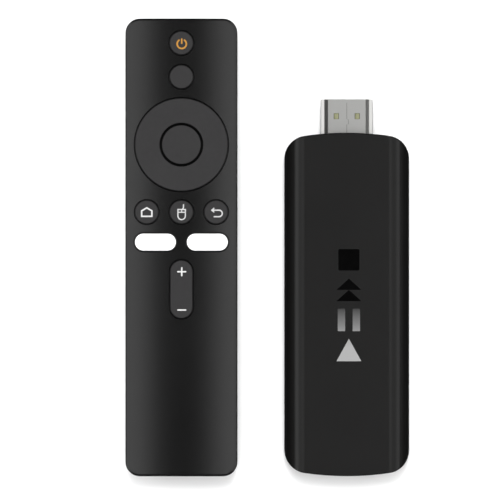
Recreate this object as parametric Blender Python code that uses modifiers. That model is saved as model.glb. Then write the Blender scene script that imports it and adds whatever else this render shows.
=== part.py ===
"""Streaming media player: a television stick with a display plug, and its hand-held remote control.

Both lie face up on a table. +Z is up, +Y is the plug end of the stick and the sending end of the remote.
The origin is on the table, at the centre of the pair's footprint. Sizes are in metres.
"""

import math

import bmesh
import bpy
from mathutils import Matrix, Vector

MM = 0.001

# ---- Clearances -----------------------------------------------------------------------------------------------
REST_GAP = 0.1 * MM  # between fixed neighbours
KEY_GAP = 0.3 * MM  # round each key, in its hole
OVERCUT = 1.0 * MM  # how far a cutter runs past what it cuts

# ---- Stick casing ---------------------------------------------------------------------------------------------
STICK_WIDTH = 33.36 * MM
STICK_LENGTH = 91.42 * MM
STICK_HEIGHT = 14.0 * MM
STICK_FLAT = 11.0 * MM  # half width of its flat faces, before the sides turn down
STICK_CORNER = 6.2 * MM
STICK_END_RADIUS = 79.0 * MM  # its ends bulge a little
STICK_WALL = 1.3 * MM
STICK_MID = STICK_HEIGHT / 2  # the casing parts here

# ---- Remote casing --------------------------------------------------------------------------------------------
REMOTE_WIDTH = 29.8 * MM
REMOTE_LENGTH = 121.8 * MM
REMOTE_HEIGHT = 15.7 * MM  # at the middle of its crowned face
REMOTE_CROWN = 140.0 * MM  # radius of that crown, across the width
REMOTE_CORNER = 3.8 * MM
REMOTE_FLAT = 8.5 * MM  # half width of the flat it lies on
REMOTE_SHOULDER = 6.5 * MM  # height where the curved back meets the straight side
REMOTE_EDGE = 0.8 * MM  # rounding round the face
REMOTE_HEEL = 3.0 * MM  # rounding under its two ends
REMOTE_WALL = 1.3 * MM
REMOTE_CEILING = 14.2 * MM  # flat inner face under the crown
REMOTE_PART = 8.0 * MM  # the casing parts here

# ---- Where the two lie ----------------------------------------------------------------------------------------
CENTRES_APART = 44.08 * MM
FOOTPRINT_WIDTH = REMOTE_WIDTH / 2 + CENTRES_APART + STICK_WIDTH / 2
REMOTE_X = -FOOTPRINT_WIDTH / 2 + REMOTE_WIDTH / 2
STICK_X = FOOTPRINT_WIDTH / 2 - STICK_WIDTH / 2
FOOT_Y = -REMOTE_LENGTH / 2  # both have their lower end here
STICK_Y = FOOT_Y + STICK_LENGTH / 2
STICK_TOP_Y = FOOT_Y + STICK_LENGTH

# ---- Display plug, on the standard plug's sizes ---------------------------------------------------------------
PLUG_WIDTH = 13.9 * MM
PLUG_HEIGHT = 4.45 * MM
PLUG_NARROW = 10.04 * MM  # width of its narrow face, which points up
PLUG_STEP = 12.0 * MM  # width where the slopes under that face meet the ledges
PLUG_LEDGE = 3.25 * MM  # height of the ledges above its wide face
PLUG_OUT = 9.0 * MM  # what stands out of the casing
PLUG_SKIN = 0.35 * MM
PLUG_TAIL_Y = STICK_TOP_Y - 7.5 * MM
PLUG_TIP_Y = STICK_TOP_Y + PLUG_OUT
PLUG_WINDOW_X = 2.8 * MM
PLUG_WINDOW_BACK = 4.5 * MM  # from the tip to the middle of a window
PLUG_SLOT_HEIGHT = 2.0 * MM
PLUG_SLOT_WIDTH = 10.0 * MM
CONTACT_PITCH = 1.0 * MM

# ---- Stick inside ---------------------------------------------------------------------------------------------
BOARD_TOP = 7.5 * MM
BOARD_THICK = 1.0 * MM
BOARD_HALF_WIDTH = 14.0 * MM
BOARD_Y = (-58.5 * MM, PLUG_TAIL_Y - 0.6 * MM)
SCREW_SPOTS = ((-11.2 * MM, 17.0 * MM), (11.2 * MM, -50.0 * MM))  # from the stick's middle line, and Y
USB_WIDTH, USB_HEIGHT, USB_DEPTH = 7.5 * MM, 2.5 * MM, 5.0 * MM
RESET_Y, RESET_Z = -36.0 * MM, BOARD_TOP + 0.85 * MM
LIGHT_X, LIGHT_Z = 9.0 * MM, BOARD_TOP + 1.2 * MM
VENT_COUNT, VENT_PITCH = 7, 3.2 * MM

# ---- Remote keys: centre from the remote's middle, and half sizes ---------------------------------------------
ROUND_KEY = 3.05 * MM
KEY_PROUD = 0.35 * MM  # above the face
KEY_LIP = 0.55 * MM  # the lip that holds a key under the face
KEY_FOOT, KEY_LIP_TOP = 13.6 * MM, 14.1 * MM
ROCKER_FOOT, ROCKER_LIP_TOP = 13.35 * MM, 13.65 * MM
RING_FOOT, RING_LIP_TOP = 13.55 * MM, 13.8 * MM
ROUND_KEYS = {
    "power_key": (0.0, 54.37 * MM),
    "voice_key": (0.0, 45.37 * MM),
    "home_key": (-9.23 * MM, 9.4 * MM),
    "pointer_key": (0.0, 9.4 * MM),
    "back_key": (9.23 * MM, 9.4 * MM),
}
APP_KEYS = {"left_app_key": (-6.9 * MM, 1.4 * MM), "right_app_key": (6.9 * MM, 1.4 * MM)}
APP_KEY_HALF = (5.45 * MM, 2.26 * MM)
VOLUME_AT, VOLUME_HALF = (0.0, -11.15 * MM), (2.9 * MM, 7.67 * MM)
PAD_AT = (0.0, 27.33 * MM)
PAD_RADIUS, PAD_LIP = 12.28 * MM, 0.7 * MM
PAD_HOLE, PAD_HUB, PAD_HOLLOW = 5.8 * MM, 6.9 * MM, 11.3 * MM  # radii of the ring's hole and of the recess below
PAD_CEILING = 14.45 * MM  # the casing's inner face over the ring's lip
OK_RADIUS = 5.15 * MM
PAD_RUBBER_Z, PAD_RUBBER_RADII = (13.5 * MM, 14.15 * MM), (7.3 * MM, 10.9 * MM)

# ---- Remote inside --------------------------------------------------------------------------------------------
KEYBOARD_TOP, KEYBOARD_THICK = 12.9 * MM, 0.8 * MM
KEYBOARD_HALF_WIDTH = 12.8 * MM
KEYBOARD_Y = (-21.5 * MM, 58.5 * MM)
RUBBER_SHEET_TOP = 13.15 * MM
FIXING_SPOTS = ((-10.3 * MM, 52.0 * MM), (10.3 * MM, 52.0 * MM), (-10.3 * MM, -5.0 * MM), (10.3 * MM, -5.0 * MM))
CELL_RADIUS, CELL_LENGTH = 5.25 * MM, 44.5 * MM  # a AAA cell
CELL_X, CELL_Z = 5.45 * MM, 6.75 * MM
BAY_Y = (FOOT_Y + REMOTE_WALL, -9.4 * MM)
BULKHEAD_THICK = 1.2 * MM
COVER_HALF_WIDTH = 11.0 * MM
COVER_Y = (FOOT_Y + 0.7 * MM, -8.4 * MM)
COVER_TOP = 1.3 * MM
CONTACT_THICK = 0.4 * MM
IR_HALF_WIDTH, IR_Z = 5.0 * MM, (6.6 * MM, 11.4 * MM)


# ---- Scene, collections and materials -------------------------------------------------------------------------
def clear_scene():
    for obj in list(bpy.data.objects):
        bpy.data.objects.remove(obj, do_unlink=True)


def new_collection(name):
    made = bpy.data.collections.new(name)
    bpy.context.scene.collection.children.link(made)
    return made


def principled(name, colour, roughness, metallic=0.0):
    material = bpy.data.materials.new(name)
    material.use_nodes = True
    shader = material.node_tree.nodes["Principled BSDF"]
    shader.inputs["Base Color"].default_value = (*colour, 1.0)
    shader.inputs["Roughness"].default_value = roughness
    shader.inputs["Metallic"].default_value = metallic
    material.diffuse_color = (*colour, 1.0)
    return material


clear_scene()
PARTS = new_collection("streaming_media_player")
CUTTERS = new_collection("cutters")
CASING = principled("casing_plastic", (0.012, 0.012, 0.012), 0.45)
REMOTE_CASING = principled("remote_casing_plastic", (0.014, 0.014, 0.015), 0.5)
KEY_PLASTIC = principled("key_plastic", (0.045, 0.045, 0.047), 0.6)
APP_PLASTIC = principled("app_key_plastic", (0.85, 0.85, 0.85), 0.4)
WINDOW_PLASTIC = principled("window_plastic", (0.01, 0.006, 0.008), 0.1)
CLEAR_PLASTIC = principled("clear_plastic", (0.8, 0.82, 0.85), 0.2)
BLACK_NYLON = principled("black_nylon", (0.02, 0.02, 0.02), 0.6)
STEEL = principled("plated_steel", (0.6, 0.6, 0.6), 0.3, 1.0)
GOLD = principled("gold_contact", (0.8, 0.6, 0.25), 0.3, 1.0)
ALUMINIUM = principled("aluminium", (0.7, 0.7, 0.72), 0.4, 1.0)
BOARD_GREEN = principled("circuit_board", (0.01, 0.07, 0.03), 0.5)
CHIP_BLACK = principled("chip_epoxy", (0.02, 0.02, 0.022), 0.5)
SILICONE = principled("silicone", (0.25, 0.25, 0.26), 0.7)
CELL_JACKET = principled("cell_jacket", (0.1, 0.12, 0.16), 0.35)


# ---- Outlines, as lists of (across, up) points ----------------------------------------------------------------
def arc(centre, radii, start, end, steps):
    """Points on an ellipse's arc from start to end, in degrees, both ends included."""
    angles = [math.radians(start + (end - start) * i / steps) for i in range(steps + 1)]
    return [(centre[0] + radii[0] * math.cos(a), centre[1] + radii[1] * math.sin(a)) for a in angles]


def circle(centre, radius, steps=32):
    return arc(centre, (radius, radius), 0, 360, steps)[:-1]


def rounded_rectangle(centre, half, radius, steps=6):
    across, up = half[0] - radius, half[1] - radius
    points = []
    for i, (sx, sy) in enumerate(((1, 1), (-1, 1), (-1, -1), (1, -1))):
        corner = (centre[0] + sx * across, centre[1] + sy * up)
        points += arc(corner, (radius, radius), 90 * i, 90 * i + 90, steps)
    return points


def mirrored(right_half):
    """A closed outline from its right half, which runs from the bottom up."""
    return right_half + [(-x, z) for x, z in reversed(right_half)]


def stick_plan(inset=0.0):
    """Three arcs at each end: a shallow one across, which runs smoothly into two corners."""
    half_width, half_length = STICK_WIDTH / 2 - inset, STICK_LENGTH / 2 - inset
    corner, end = STICK_CORNER - inset, STICK_END_RADIUS - inset
    corner_x = half_width - corner
    lean = math.asin(corner_x / (end - corner))
    corner_y = half_length - end + (end - corner) * math.cos(lean)
    turn = 90 - math.degrees(lean)
    quarter = arc((corner_x, corner_y), (corner, corner), 0, turn, 7)
    across = arc((0, half_length - end), (end, end), turn, 90, 4)[1:-1]
    upper = quarter + across
    right = [(x, -y) for x, y in reversed(upper)] + upper
    return mirrored([(0, -half_length)] + right + [(0, half_length)])


def without_repeats(points):
    """The same outline with no two neighbouring points in one place."""
    kept = []
    for p in points:
        if not kept or math.dist(p, kept[-1]) > 1e-6:
            kept.append(p)
    if math.dist(kept[0], kept[-1]) < 1e-6:
        kept.pop()
    return kept


def stick_section(inset=0.0):
    radii = (STICK_WIDTH / 2 - STICK_FLAT - inset, STICK_MID - inset)
    return mirrored(arc((STICK_FLAT, STICK_MID), radii, -90, 90, 16))


def crown_height(x, lift=0.0):
    radius = REMOTE_CROWN + lift
    return REMOTE_HEIGHT - REMOTE_CROWN + math.sqrt(radius * radius - x * x)


def crown_line(half_width, lift=0.0, steps=10):
    """The right half of the face's crown, from its edge to the middle."""
    stops = [half_width * (1 - i / steps) for i in range(steps + 1)]
    return [(x, crown_height(x, lift)) for x in stops]


def remote_section():
    half = REMOTE_WIDTH / 2
    back = arc((REMOTE_FLAT, REMOTE_SHOULDER), (half - REMOTE_FLAT, REMOTE_SHOULDER), -90, 0, 8)
    edge_x = half - REMOTE_EDGE
    edge = arc((edge_x, crown_height(edge_x) - REMOTE_EDGE), (REMOTE_EDGE, REMOTE_EDGE), 0, 80, 3)
    return mirrored(back + edge + crown_line(edge_x))


def remote_cavity_section():
    half = REMOTE_WIDTH / 2 - REMOTE_WALL
    radii = (half - REMOTE_FLAT, REMOTE_SHOULDER - REMOTE_WALL)
    back = arc((REMOTE_FLAT, REMOTE_SHOULDER), radii, -90, 0, 6)
    return mirrored(back + [(half, REMOTE_CEILING)])


def remote_side_profile():
    half = REMOTE_LENGTH / 2
    heel = arc((half - REMOTE_HEEL, REMOTE_HEEL), (REMOTE_HEEL, REMOTE_HEEL), -90, 0, 6)
    edge = arc((half - REMOTE_EDGE, REMOTE_HEIGHT - REMOTE_EDGE), (REMOTE_EDGE, REMOTE_EDGE), 0, 80, 3)
    edge.append((half - REMOTE_EDGE, REMOTE_HEIGHT + OVERCUT))
    return mirrored(heel + edge)


def plug_section(inset=0.0):
    """The display plug: straight lower sides, a shoulder, and a narrower face on top."""
    slope_share = 0.58  # how far the slopes draw in for each unit of inset
    half, low, high = PLUG_WIDTH / 2 - inset, STICK_MID - PLUG_HEIGHT / 2 + inset, STICK_MID + PLUG_HEIGHT / 2 - inset
    narrow, step = PLUG_NARROW / 2 - slope_share * inset, PLUG_STEP / 2 - slope_share * inset
    ledge = STICK_MID - PLUG_HEIGHT / 2 + PLUG_LEDGE - inset
    round_off = 0.45 * MM
    right = arc((half - round_off, low + round_off), (round_off, round_off), -90, 0, 3)
    right += arc((half - 0.2 * MM, ledge - 0.32 * MM), (0.2 * MM, 0.2 * MM), 0, 75, 3)
    right += [(step, ledge), (narrow + 0.04 * MM, high - 0.07 * MM), (narrow - 0.05 * MM, high)]
    return mirrored(right)


# ---- Solids ---------------------------------------------------------------------------------------------------
def placed(obj, name, material, collection):
    for old in list(obj.users_collection):
        old.objects.unlink(obj)
    collection.objects.link(obj)
    obj.name = name
    obj.data.name = name
    if collection is CUTTERS:
        obj.hide_render = True
        obj.display_type = "WIRE"
    if material:
        obj.data.materials.clear()
        obj.data.materials.append(material)
    return obj


def prism(name, outline, along, low, high, material=None):
    """A flat outline, made thick from low to high along an axis. It is (x, y), (x, z) or (y, z) for Z, Y or X."""
    curve = bpy.data.curves.new(name, "CURVE")
    curve.dimensions = "2D"
    curve.fill_mode = "BOTH"
    curve.extrude = (high - low) / 2
    points = without_repeats(outline)
    spline = curve.splines.new("POLY")
    spline.points.add(len(points) - 1)
    for point, (across, up) in zip(spline.points, points):
        point.co = (across, up, 0, 1)
    spline.use_cyclic_u = True
    obj = bpy.data.objects.new(name, curve)
    bpy.context.scene.collection.objects.link(obj)
    middle = (low + high) / 2
    turns = {
        "Z": Matrix.Translation((0, 0, middle)),
        "Y": Matrix.Translation((0, middle, 0)) @ Matrix.Rotation(math.pi / 2, 4, "X"),
        "X": Matrix.Translation((middle, 0, 0))
        @ Matrix.Rotation(math.pi / 2, 4, "Z")
        @ Matrix.Rotation(math.pi / 2, 4, "X"),
    }
    obj.matrix_world = turns[along]
    return solid_from(obj, name, material)


def solid_from(curve_obj, name, material):
    """The closed mesh of a curve object, in place, with its caps welded on. The curve is removed."""
    bpy.context.view_layer.update()
    graph = bpy.context.evaluated_depsgraph_get()
    mesh = bpy.data.meshes.new_from_object(curve_obj.evaluated_get(graph))
    mesh.transform(curve_obj.matrix_world)
    bm = bmesh.new()
    bm.from_mesh(mesh)
    bmesh.ops.remove_doubles(bm, verts=bm.verts, dist=1e-7)
    bmesh.ops.recalc_face_normals(bm, faces=bm.faces)
    bm.to_mesh(mesh)
    bm.free()
    bpy.data.objects.remove(curve_obj, do_unlink=True)
    made = bpy.data.objects.new(name, mesh)
    return placed(made, name, material, PARTS if material else CUTTERS)


def box(name, low, high, material=None):
    """A box between two corners. With no material it is a cutter."""
    bpy.ops.mesh.primitive_cube_add(size=1)
    obj = bpy.context.active_object
    low, high = Vector(low), Vector(high)
    size = high - low
    obj.data.transform(Matrix.Translation((low + high) / 2) @ Matrix.Diagonal((*size, 1)))
    return placed(obj, name, material, PARTS if material else CUTTERS)


def rod(name, radius, start, end, material=None, sides=24):
    """A cylinder between two points."""
    start, end = Vector(start), Vector(end)
    bpy.ops.mesh.primitive_cylinder_add(vertices=sides, radius=radius, depth=(end - start).length)
    obj = bpy.context.active_object
    turn = (end - start).to_track_quat("Z", "Y").to_matrix().to_4x4()
    obj.data.transform(Matrix.Translation((start + end) / 2) @ turn)
    return placed(obj, name, material, PARTS if material else CUTTERS)


def turned(name, profile, base, along, material, steps=24):
    """A turned solid on a line from base along a direction. The profile is (radius, distance), far end first."""
    mesh = bpy.data.meshes.new(name)
    mesh.from_pydata([(r, 0, d) for r, d in profile], [(i, i + 1) for i in range(len(profile) - 1)], [])
    obj = bpy.data.objects.new(name, mesh)
    turn = Vector(along).to_track_quat("Z", "Y").to_matrix().to_4x4()
    obj.matrix_world = Matrix.Translation(base) @ turn
    screw = obj.modifiers.new("turn", "SCREW")
    screw.axis = "Z"
    screw.angle = 2 * math.pi
    screw.steps = steps
    screw.render_steps = steps
    screw.use_merge_vertices = True
    screw.merge_threshold = 0.00001
    return placed(obj, name, material, PARTS)


def combine(obj, other, operation):
    modifier = obj.modifiers.new(f"{operation.lower()}_{other.name}", "BOOLEAN")
    modifier.operation = operation
    modifier.object = other
    modifier.solver = "EXACT"
    return obj


def cut(obj, *others):
    for other in others:
        combine(obj, other, "DIFFERENCE")
    return obj


def add(obj, *others):
    for other in others:
        combine(obj, other, "UNION")
    return obj


def keep_inside(obj, *others):
    for other in others:
        combine(obj, other, "INTERSECT")
    return obj


def shift(obj, x=0.0, y=0.0):
    """Moves a mesh in its own data, so that the object stays at the origin."""
    obj.data.transform(Matrix.Translation((x, y, 0)))
    return obj


def smooth(obj, degrees=35):
    obj.data.shade_smooth()
    obj.data.set_sharp_from_angle(angle=math.radians(degrees))
    return obj


def hang_on(obj, name, pivot):
    """Parents a moving piece to an empty at its joint, and leaves it in place."""
    axis = bpy.data.objects.new(name, None)
    axis.empty_display_size = 2 * MM
    axis.location = pivot
    PARTS.objects.link(axis)
    bpy.context.view_layer.update()
    obj.parent = axis
    obj.matrix_parent_inverse = axis.matrix_world.inverted()
    return obj


# ---- Stick: casing --------------------------------------------------------------------------------------------
def stick_form(name, material=None):
    body = shift(prism(name, stick_plan(), "Z", -OVERCUT, STICK_HEIGHT + OVERCUT, material), STICK_X, STICK_Y)
    section = prism(name + "_section", stick_section(), "Y", -REMOTE_LENGTH, REMOTE_LENGTH)
    return keep_inside(body, shift(section, STICK_X))


def stick_cavity():
    body = prism("stick_cavity", stick_plan(STICK_WALL), "Z", 0, STICK_HEIGHT)
    section = prism("stick_cavity_section", stick_section(STICK_WALL), "Y", -REMOTE_LENGTH, REMOTE_LENGTH)
    return keep_inside(shift(body, STICK_X, STICK_Y), shift(section, STICK_X))


def stick_half(name, low, high, cavity):
    slab = box(name + "_side", (0, -REMOTE_LENGTH, low), (2 * STICK_X, REMOTE_LENGTH, high))
    shell = cut(keep_inside(stick_form(name, CASING), slab), cavity)
    reach = PLUG_WIDTH / 2 + REST_GAP, PLUG_HEIGHT / 2 + REST_GAP
    plug_hole = box(
        name + "_plug_hole",
        (STICK_X - reach[0], STICK_TOP_Y - 4 * MM, STICK_MID - reach[1]),
        (STICK_X + reach[0], STICK_TOP_Y + 4 * MM, STICK_MID + reach[1]),
    )
    return smooth(cut(shell, plug_hole), 30)


def stick_casing():
    cavity = stick_cavity()
    top = stick_half("stick_top_shell", STICK_MID + REST_GAP / 2, STICK_HEIGHT + OVERCUT, cavity)
    half_width, low = USB_WIDTH / 2 + 0.4 * MM, BOARD_TOP + 0.02 * MM
    high = BOARD_TOP + REST_GAP + USB_HEIGHT + 0.3 * MM
    port = box(
        "usb_port_hole",
        (STICK_X - half_width, FOOT_Y - OVERCUT, low),
        (STICK_X + half_width, FOOT_Y + 3 * MM, high),
    )
    light = rod(
        "light_pipe_hole",
        1.05 * MM,
        (STICK_X + LIGHT_X, FOOT_Y - OVERCUT, LIGHT_Z),
        (STICK_X + LIGHT_X, FOOT_Y + 3 * MM, LIGHT_Z),
    )
    side = STICK_X + STICK_WIDTH / 2
    reset = rod("reset_hole", 0.8 * MM, (side - 3 * MM, RESET_Y, RESET_Z), (side + OVERCUT, RESET_Y, RESET_Z))
    cut(top, port, light, reset)
    bottom = stick_half("stick_bottom_shell", -OVERCUT, STICK_MID - REST_GAP / 2, cavity)
    for i, (x, y) in enumerate(SCREW_SPOTS):
        foot, head = STICK_WALL - 0.2 * MM, BOARD_TOP - BOARD_THICK - REST_GAP
        post = rod(f"board_post_{i}", 1.8 * MM, (STICK_X + x, y, foot), (STICK_X + x, y, head), sides=16)
        pilot = rod(f"board_post_bore_{i}", 0.8 * MM, (STICK_X + x, y, 2 * MM), (STICK_X + x, y, STICK_MID), sides=12)
        cut(add(bottom, post), pilot)
    for i in range(VENT_COUNT):
        y = STICK_Y + (i - (VENT_COUNT - 1) / 2) * VENT_PITCH
        outline = rounded_rectangle((STICK_X, y), (7.5 * MM, 0.6 * MM), 0.59 * MM, 3)
        cut(bottom, prism(f"vent_{i}", outline, "Z", -OVERCUT, STICK_WALL + OVERCUT))
    return top, bottom


# ---- Stick: plug, port and board ------------------------------------------------------------------------------
def display_plug():
    shell = shift(prism("hdmi_shell", plug_section(), "Y", PLUG_TAIL_Y, PLUG_TIP_Y, STEEL), STICK_X)
    bore = prism("hdmi_shell_bore", plug_section(PLUG_SKIN), "Y", PLUG_TAIL_Y - OVERCUT, PLUG_TIP_Y + OVERCUT)
    cut(shell, shift(bore, STICK_X))
    for side in (-1, 1):
        x, y = STICK_X + side * PLUG_WINDOW_X, PLUG_TIP_Y - PLUG_WINDOW_BACK
        half = (0.65 * MM, 0.8 * MM)
        cut(shell, box(f"plug_window_{side}", (x - half[0], y - half[1], 0), (x + half[0], y + half[1], STICK_HEIGHT)))
    block_end = PLUG_TIP_Y - 0.9 * MM
    section = plug_section(PLUG_SKIN + REST_GAP)
    block = shift(prism("hdmi_insulator", section, "Y", PLUG_TAIL_Y + 0.5 * MM, block_end, BLACK_NYLON), STICK_X)
    reach, rise = PLUG_SLOT_WIDTH / 2, PLUG_SLOT_HEIGHT / 2
    slot_foot = PLUG_TIP_Y - 8.5 * MM
    mouth = box(
        "hdmi_slot",
        (STICK_X - reach, slot_foot, STICK_MID - rise),
        (STICK_X + reach, PLUG_TIP_Y + OVERCUT, STICK_MID + rise),
    )
    cut(block, mouth)
    contact_row("hdmi_contacts_upper", 10, STICK_MID + rise - 0.02 * MM, -1, slot_foot, block_end, block)
    contact_row("hdmi_contacts_lower", 9, STICK_MID - rise + 0.02 * MM, 1, slot_foot, block_end, block)


def contact_row(name, count, face_z, inwards, slot_foot, block_end, block):
    """A row of contact fingers on one face of the plug's slot, on the strip that they are stamped from."""
    thick = 0.25 * MM
    low, high = sorted((face_z + inwards * REST_GAP / 2, face_z + inwards * (REST_GAP / 2 + thick)))
    half = (count - 1) / 2 * CONTACT_PITCH + 0.2 * MM
    strip = box(
        name, (STICK_X - half, slot_foot + 0.15 * MM, low), (STICK_X + half, slot_foot + 0.8 * MM, high), GOLD
    )
    for i in range(count):
        x = STICK_X + (i - (count - 1) / 2) * CONTACT_PITCH
        reach = block_end - 0.8 * MM
        finger = box(f"{name}_{i}", (x - 0.2 * MM, slot_foot + 0.5 * MM, low), (x + 0.2 * MM, reach, high))
        add(strip, finger)
    return strip


def power_port():
    low = BOARD_TOP + REST_GAP
    high, half = low + USB_HEIGHT, USB_WIDTH / 2
    slope = 0.7 * MM
    start, end = FOOT_Y + 0.9 * MM, FOOT_Y + 0.9 * MM + USB_DEPTH

    def outline(skin):
        right = [(half - slope, low + skin), (half - skin, low + slope + skin / 2), (half - skin, high - skin)]
        return mirrored(right)

    shell = shift(prism("usb_shell", outline(0), "Y", start, end, STEEL), STICK_X)
    bore = prism("usb_shell_bore", outline(0.3 * MM), "Y", start - OVERCUT, end - 0.3 * MM)
    cut(shell, shift(bore, STICK_X))
    box(
        "usb_tongue",
        (STICK_X - 2.2 * MM, start + 0.5 * MM, low + 1.25 * MM),
        (STICK_X + 2.2 * MM, end - 0.4 * MM, low + 1.85 * MM),
        BLACK_NYLON,
    )


def main_board():
    outline = rounded_rectangle(
        (STICK_X, (BOARD_Y[0] + BOARD_Y[1]) / 2), (BOARD_HALF_WIDTH, (BOARD_Y[1] - BOARD_Y[0]) / 2), 2.5 * MM, 4
    )
    board = prism("main_board", outline, "Z", BOARD_TOP - BOARD_THICK, BOARD_TOP, BOARD_GREEN)
    for i, (x, y) in enumerate(SCREW_SPOTS):
        cut(board, rod(f"board_hole_{i}", 1.0 * MM, (STICK_X + x, y, 0), (STICK_X + x, y, STICK_HEIGHT), sides=16))
        screw(f"board_screw_{i + 1}", (STICK_X + x, y, BOARD_TOP + REST_GAP), -1, 4.5 * MM)
    return board


def screw(name, seat, points, length):
    """A small pan-head screw whose head stands on the seat. points is -1 down or 1 up."""
    x, y, z = seat
    head_height, deep = 0.9 * MM, 0.5 * MM
    head = rod(name, 1.45 * MM, (x, y, z - points * head_height), (x, y, z), STEEL, 16)
    shank = rod(name + "_shank", 0.7 * MM, (x, y, z - points * deep), (x, y, z + points * length), sides=12)
    add(head, shank)
    for turn, (a, b) in enumerate(((0.2 * MM, 0.8 * MM), (0.8 * MM, 0.2 * MM))):
        ends = sorted((z - points * (head_height + deep), z - points * deep))
        cut(head, box(f"{name}_cross_{turn}", (x - a, y - b, ends[0]), (x + a, y + b, ends[1])))
    return head


def board_chip(name, centre, half, height, material, below=False, radius=0.0):
    """A package on the stick's board, on its top or below it."""
    low = BOARD_TOP + REST_GAP
    if below:
        low = BOARD_TOP - BOARD_THICK - REST_GAP - height
    x, y = STICK_X + centre[0], centre[1]
    if radius:
        return prism(name, rounded_rectangle((x, y), half, radius, 4), "Z", low, low + height, material)
    return box(name, (x - half[0], y - half[1], low), (x + half[0], y + half[1], low + height), material)


def stick_electronics():
    board_chip("processor", (0, -6 * MM), (7 * MM, 7 * MM), 1.2 * MM, CHIP_BLACK)
    board_chip("memory_chip_1", (-6.5 * MM, 9 * MM), (4.5 * MM, 5.5 * MM), 1.2 * MM, CHIP_BLACK)
    board_chip("memory_chip_2", (6.5 * MM, 9 * MM), (4.5 * MM, 5.5 * MM), 1.2 * MM, CHIP_BLACK)
    board_chip("flash_chip", (0, -6 * MM), (6.5 * MM, 5.75 * MM), 1.0 * MM, CHIP_BLACK, below=True)
    board_chip("wifi_module", (-6.5 * MM, -34 * MM), (6 * MM, 6 * MM), 1.7 * MM, STEEL)
    board_chip("power_inductor", (7.5 * MM, -29 * MM), (2.5 * MM, 2.5 * MM), 2.2 * MM, CHIP_BLACK, radius=1.2 * MM)
    board_chip("crystal", (6.0 * MM, -21 * MM), (2.5 * MM, 1.6 * MM), 0.9 * MM, STEEL, radius=1.5 * MM)
    board_chip("status_light", (LIGHT_X, -56.3 * MM), (0.8 * MM, 0.7 * MM), 0.8 * MM, CLEAR_PLASTIC)
    pad_low = BOARD_TOP + REST_GAP + 1.2 * MM + 0.05 * MM
    box(
        "thermal_pad",
        (STICK_X - 6.5 * MM, -12.5 * MM, pad_low),
        (STICK_X + 6.5 * MM, 0.5 * MM, pad_low + 0.5 * MM),
        SILICONE,
    )
    spreader(pad_low + 0.55 * MM)
    end = FOOT_Y + 0.6 * MM
    x = STICK_X + LIGHT_X
    rod("light_pipe", 0.9 * MM, (x, end, LIGHT_Z), (x, -57.3 * MM, LIGHT_Z), CLEAR_PLASTIC, 16)
    antenna()
    reset_control()


def spreader(low):
    """The aluminium plate over the processor, with low fins."""
    half_width, y = 11.5 * MM, (-22 * MM, 15.0 * MM)
    corners = ((STICK_X - half_width, y[0], low), (STICK_X + half_width, y[1], low + 0.8 * MM))
    plate = box("heat_spreader", *corners, ALUMINIUM)
    fins = 9
    for i in range(fins):
        x = STICK_X + (i - (fins - 1) / 2) * 2.5 * MM
        corners = ((x - 0.4 * MM, y[0] + MM, low + 0.5 * MM), (x + 0.4 * MM, y[1] - MM, low + 2.2 * MM))
        add(plate, box(f"fin_{i}", *corners))
    return plate


def antenna():
    """A flat antenna under the front of the casing, and the thin lead to its module."""
    high = STICK_HEIGHT - STICK_WALL - REST_GAP
    low = high - 0.3 * MM
    plate = box("wifi_antenna", (STICK_X - 9 * MM, -54 * MM, low), (STICK_X + 9 * MM, -47 * MM, high), GOLD)
    cut(
        plate,
        box(
            "antenna_slot",
            (STICK_X - 7 * MM, -51 * MM, low - OVERCUT),
            (STICK_X + 10 * MM, -49.8 * MM, high + OVERCUT),
        ),
    )
    start = Vector((STICK_X - 6.5 * MM, -38 * MM, BOARD_TOP + REST_GAP + 1.7 * MM + 0.5 * MM))
    end = Vector((STICK_X - 6.5 * MM, -52.5 * MM, low - 0.5 * MM))
    bend = [
        start.lerp(end, t / 12) + Vector((0, 0, 0.7 * MM * math.sin(math.pi * t / 12))) * -1
        for t in range(13)
    ]
    wire("antenna_lead", bend, 0.35 * MM, BLACK_NYLON)


def wire(name, points, radius, material, resolution=2):
    """A round wire along points, with closed ends."""
    curve = bpy.data.curves.new(name, "CURVE")
    curve.dimensions = "3D"
    curve.bevel_depth = radius
    curve.bevel_resolution = resolution
    curve.use_fill_caps = True
    spline = curve.splines.new("POLY")
    spline.points.add(len(points) - 1)
    for point, place in zip(spline.points, points):
        point.co = (*place, 1)
    obj = bpy.data.objects.new(name, curve)
    bpy.context.scene.collection.objects.link(obj)
    return smooth(solid_from(obj, name, material), 60)


def reset_control():
    """A pin-hole button in the stick's right side, and the switch behind it. The pin travels inwards."""
    switch = BOARD_TOP + REST_GAP
    x = STICK_X + 13.2 * MM
    box("reset_switch", (x - 3.0 * MM, RESET_Y - 1.8 * MM, switch), (x, RESET_Y + 1.8 * MM, switch + 1.5 * MM), STEEL)
    pin = rod(
        "reset_button",
        0.6 * MM,
        (x + 0.4 * MM, RESET_Y, RESET_Z),
        (STICK_X + STICK_WIDTH / 2 - 0.6 * MM, RESET_Y, RESET_Z),
        KEY_PLASTIC,
        16,
    )
    collar_low = (x + 0.4 * MM, RESET_Y - 1.1 * MM, RESET_Z - 0.72 * MM)
    add(pin, box("reset_collar", collar_low, (x + 1.0 * MM, RESET_Y + 1.1 * MM, RESET_Z + 0.72 * MM)))
    return hang_on(pin, "reset_axis", (x, RESET_Y, RESET_Z))


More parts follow.
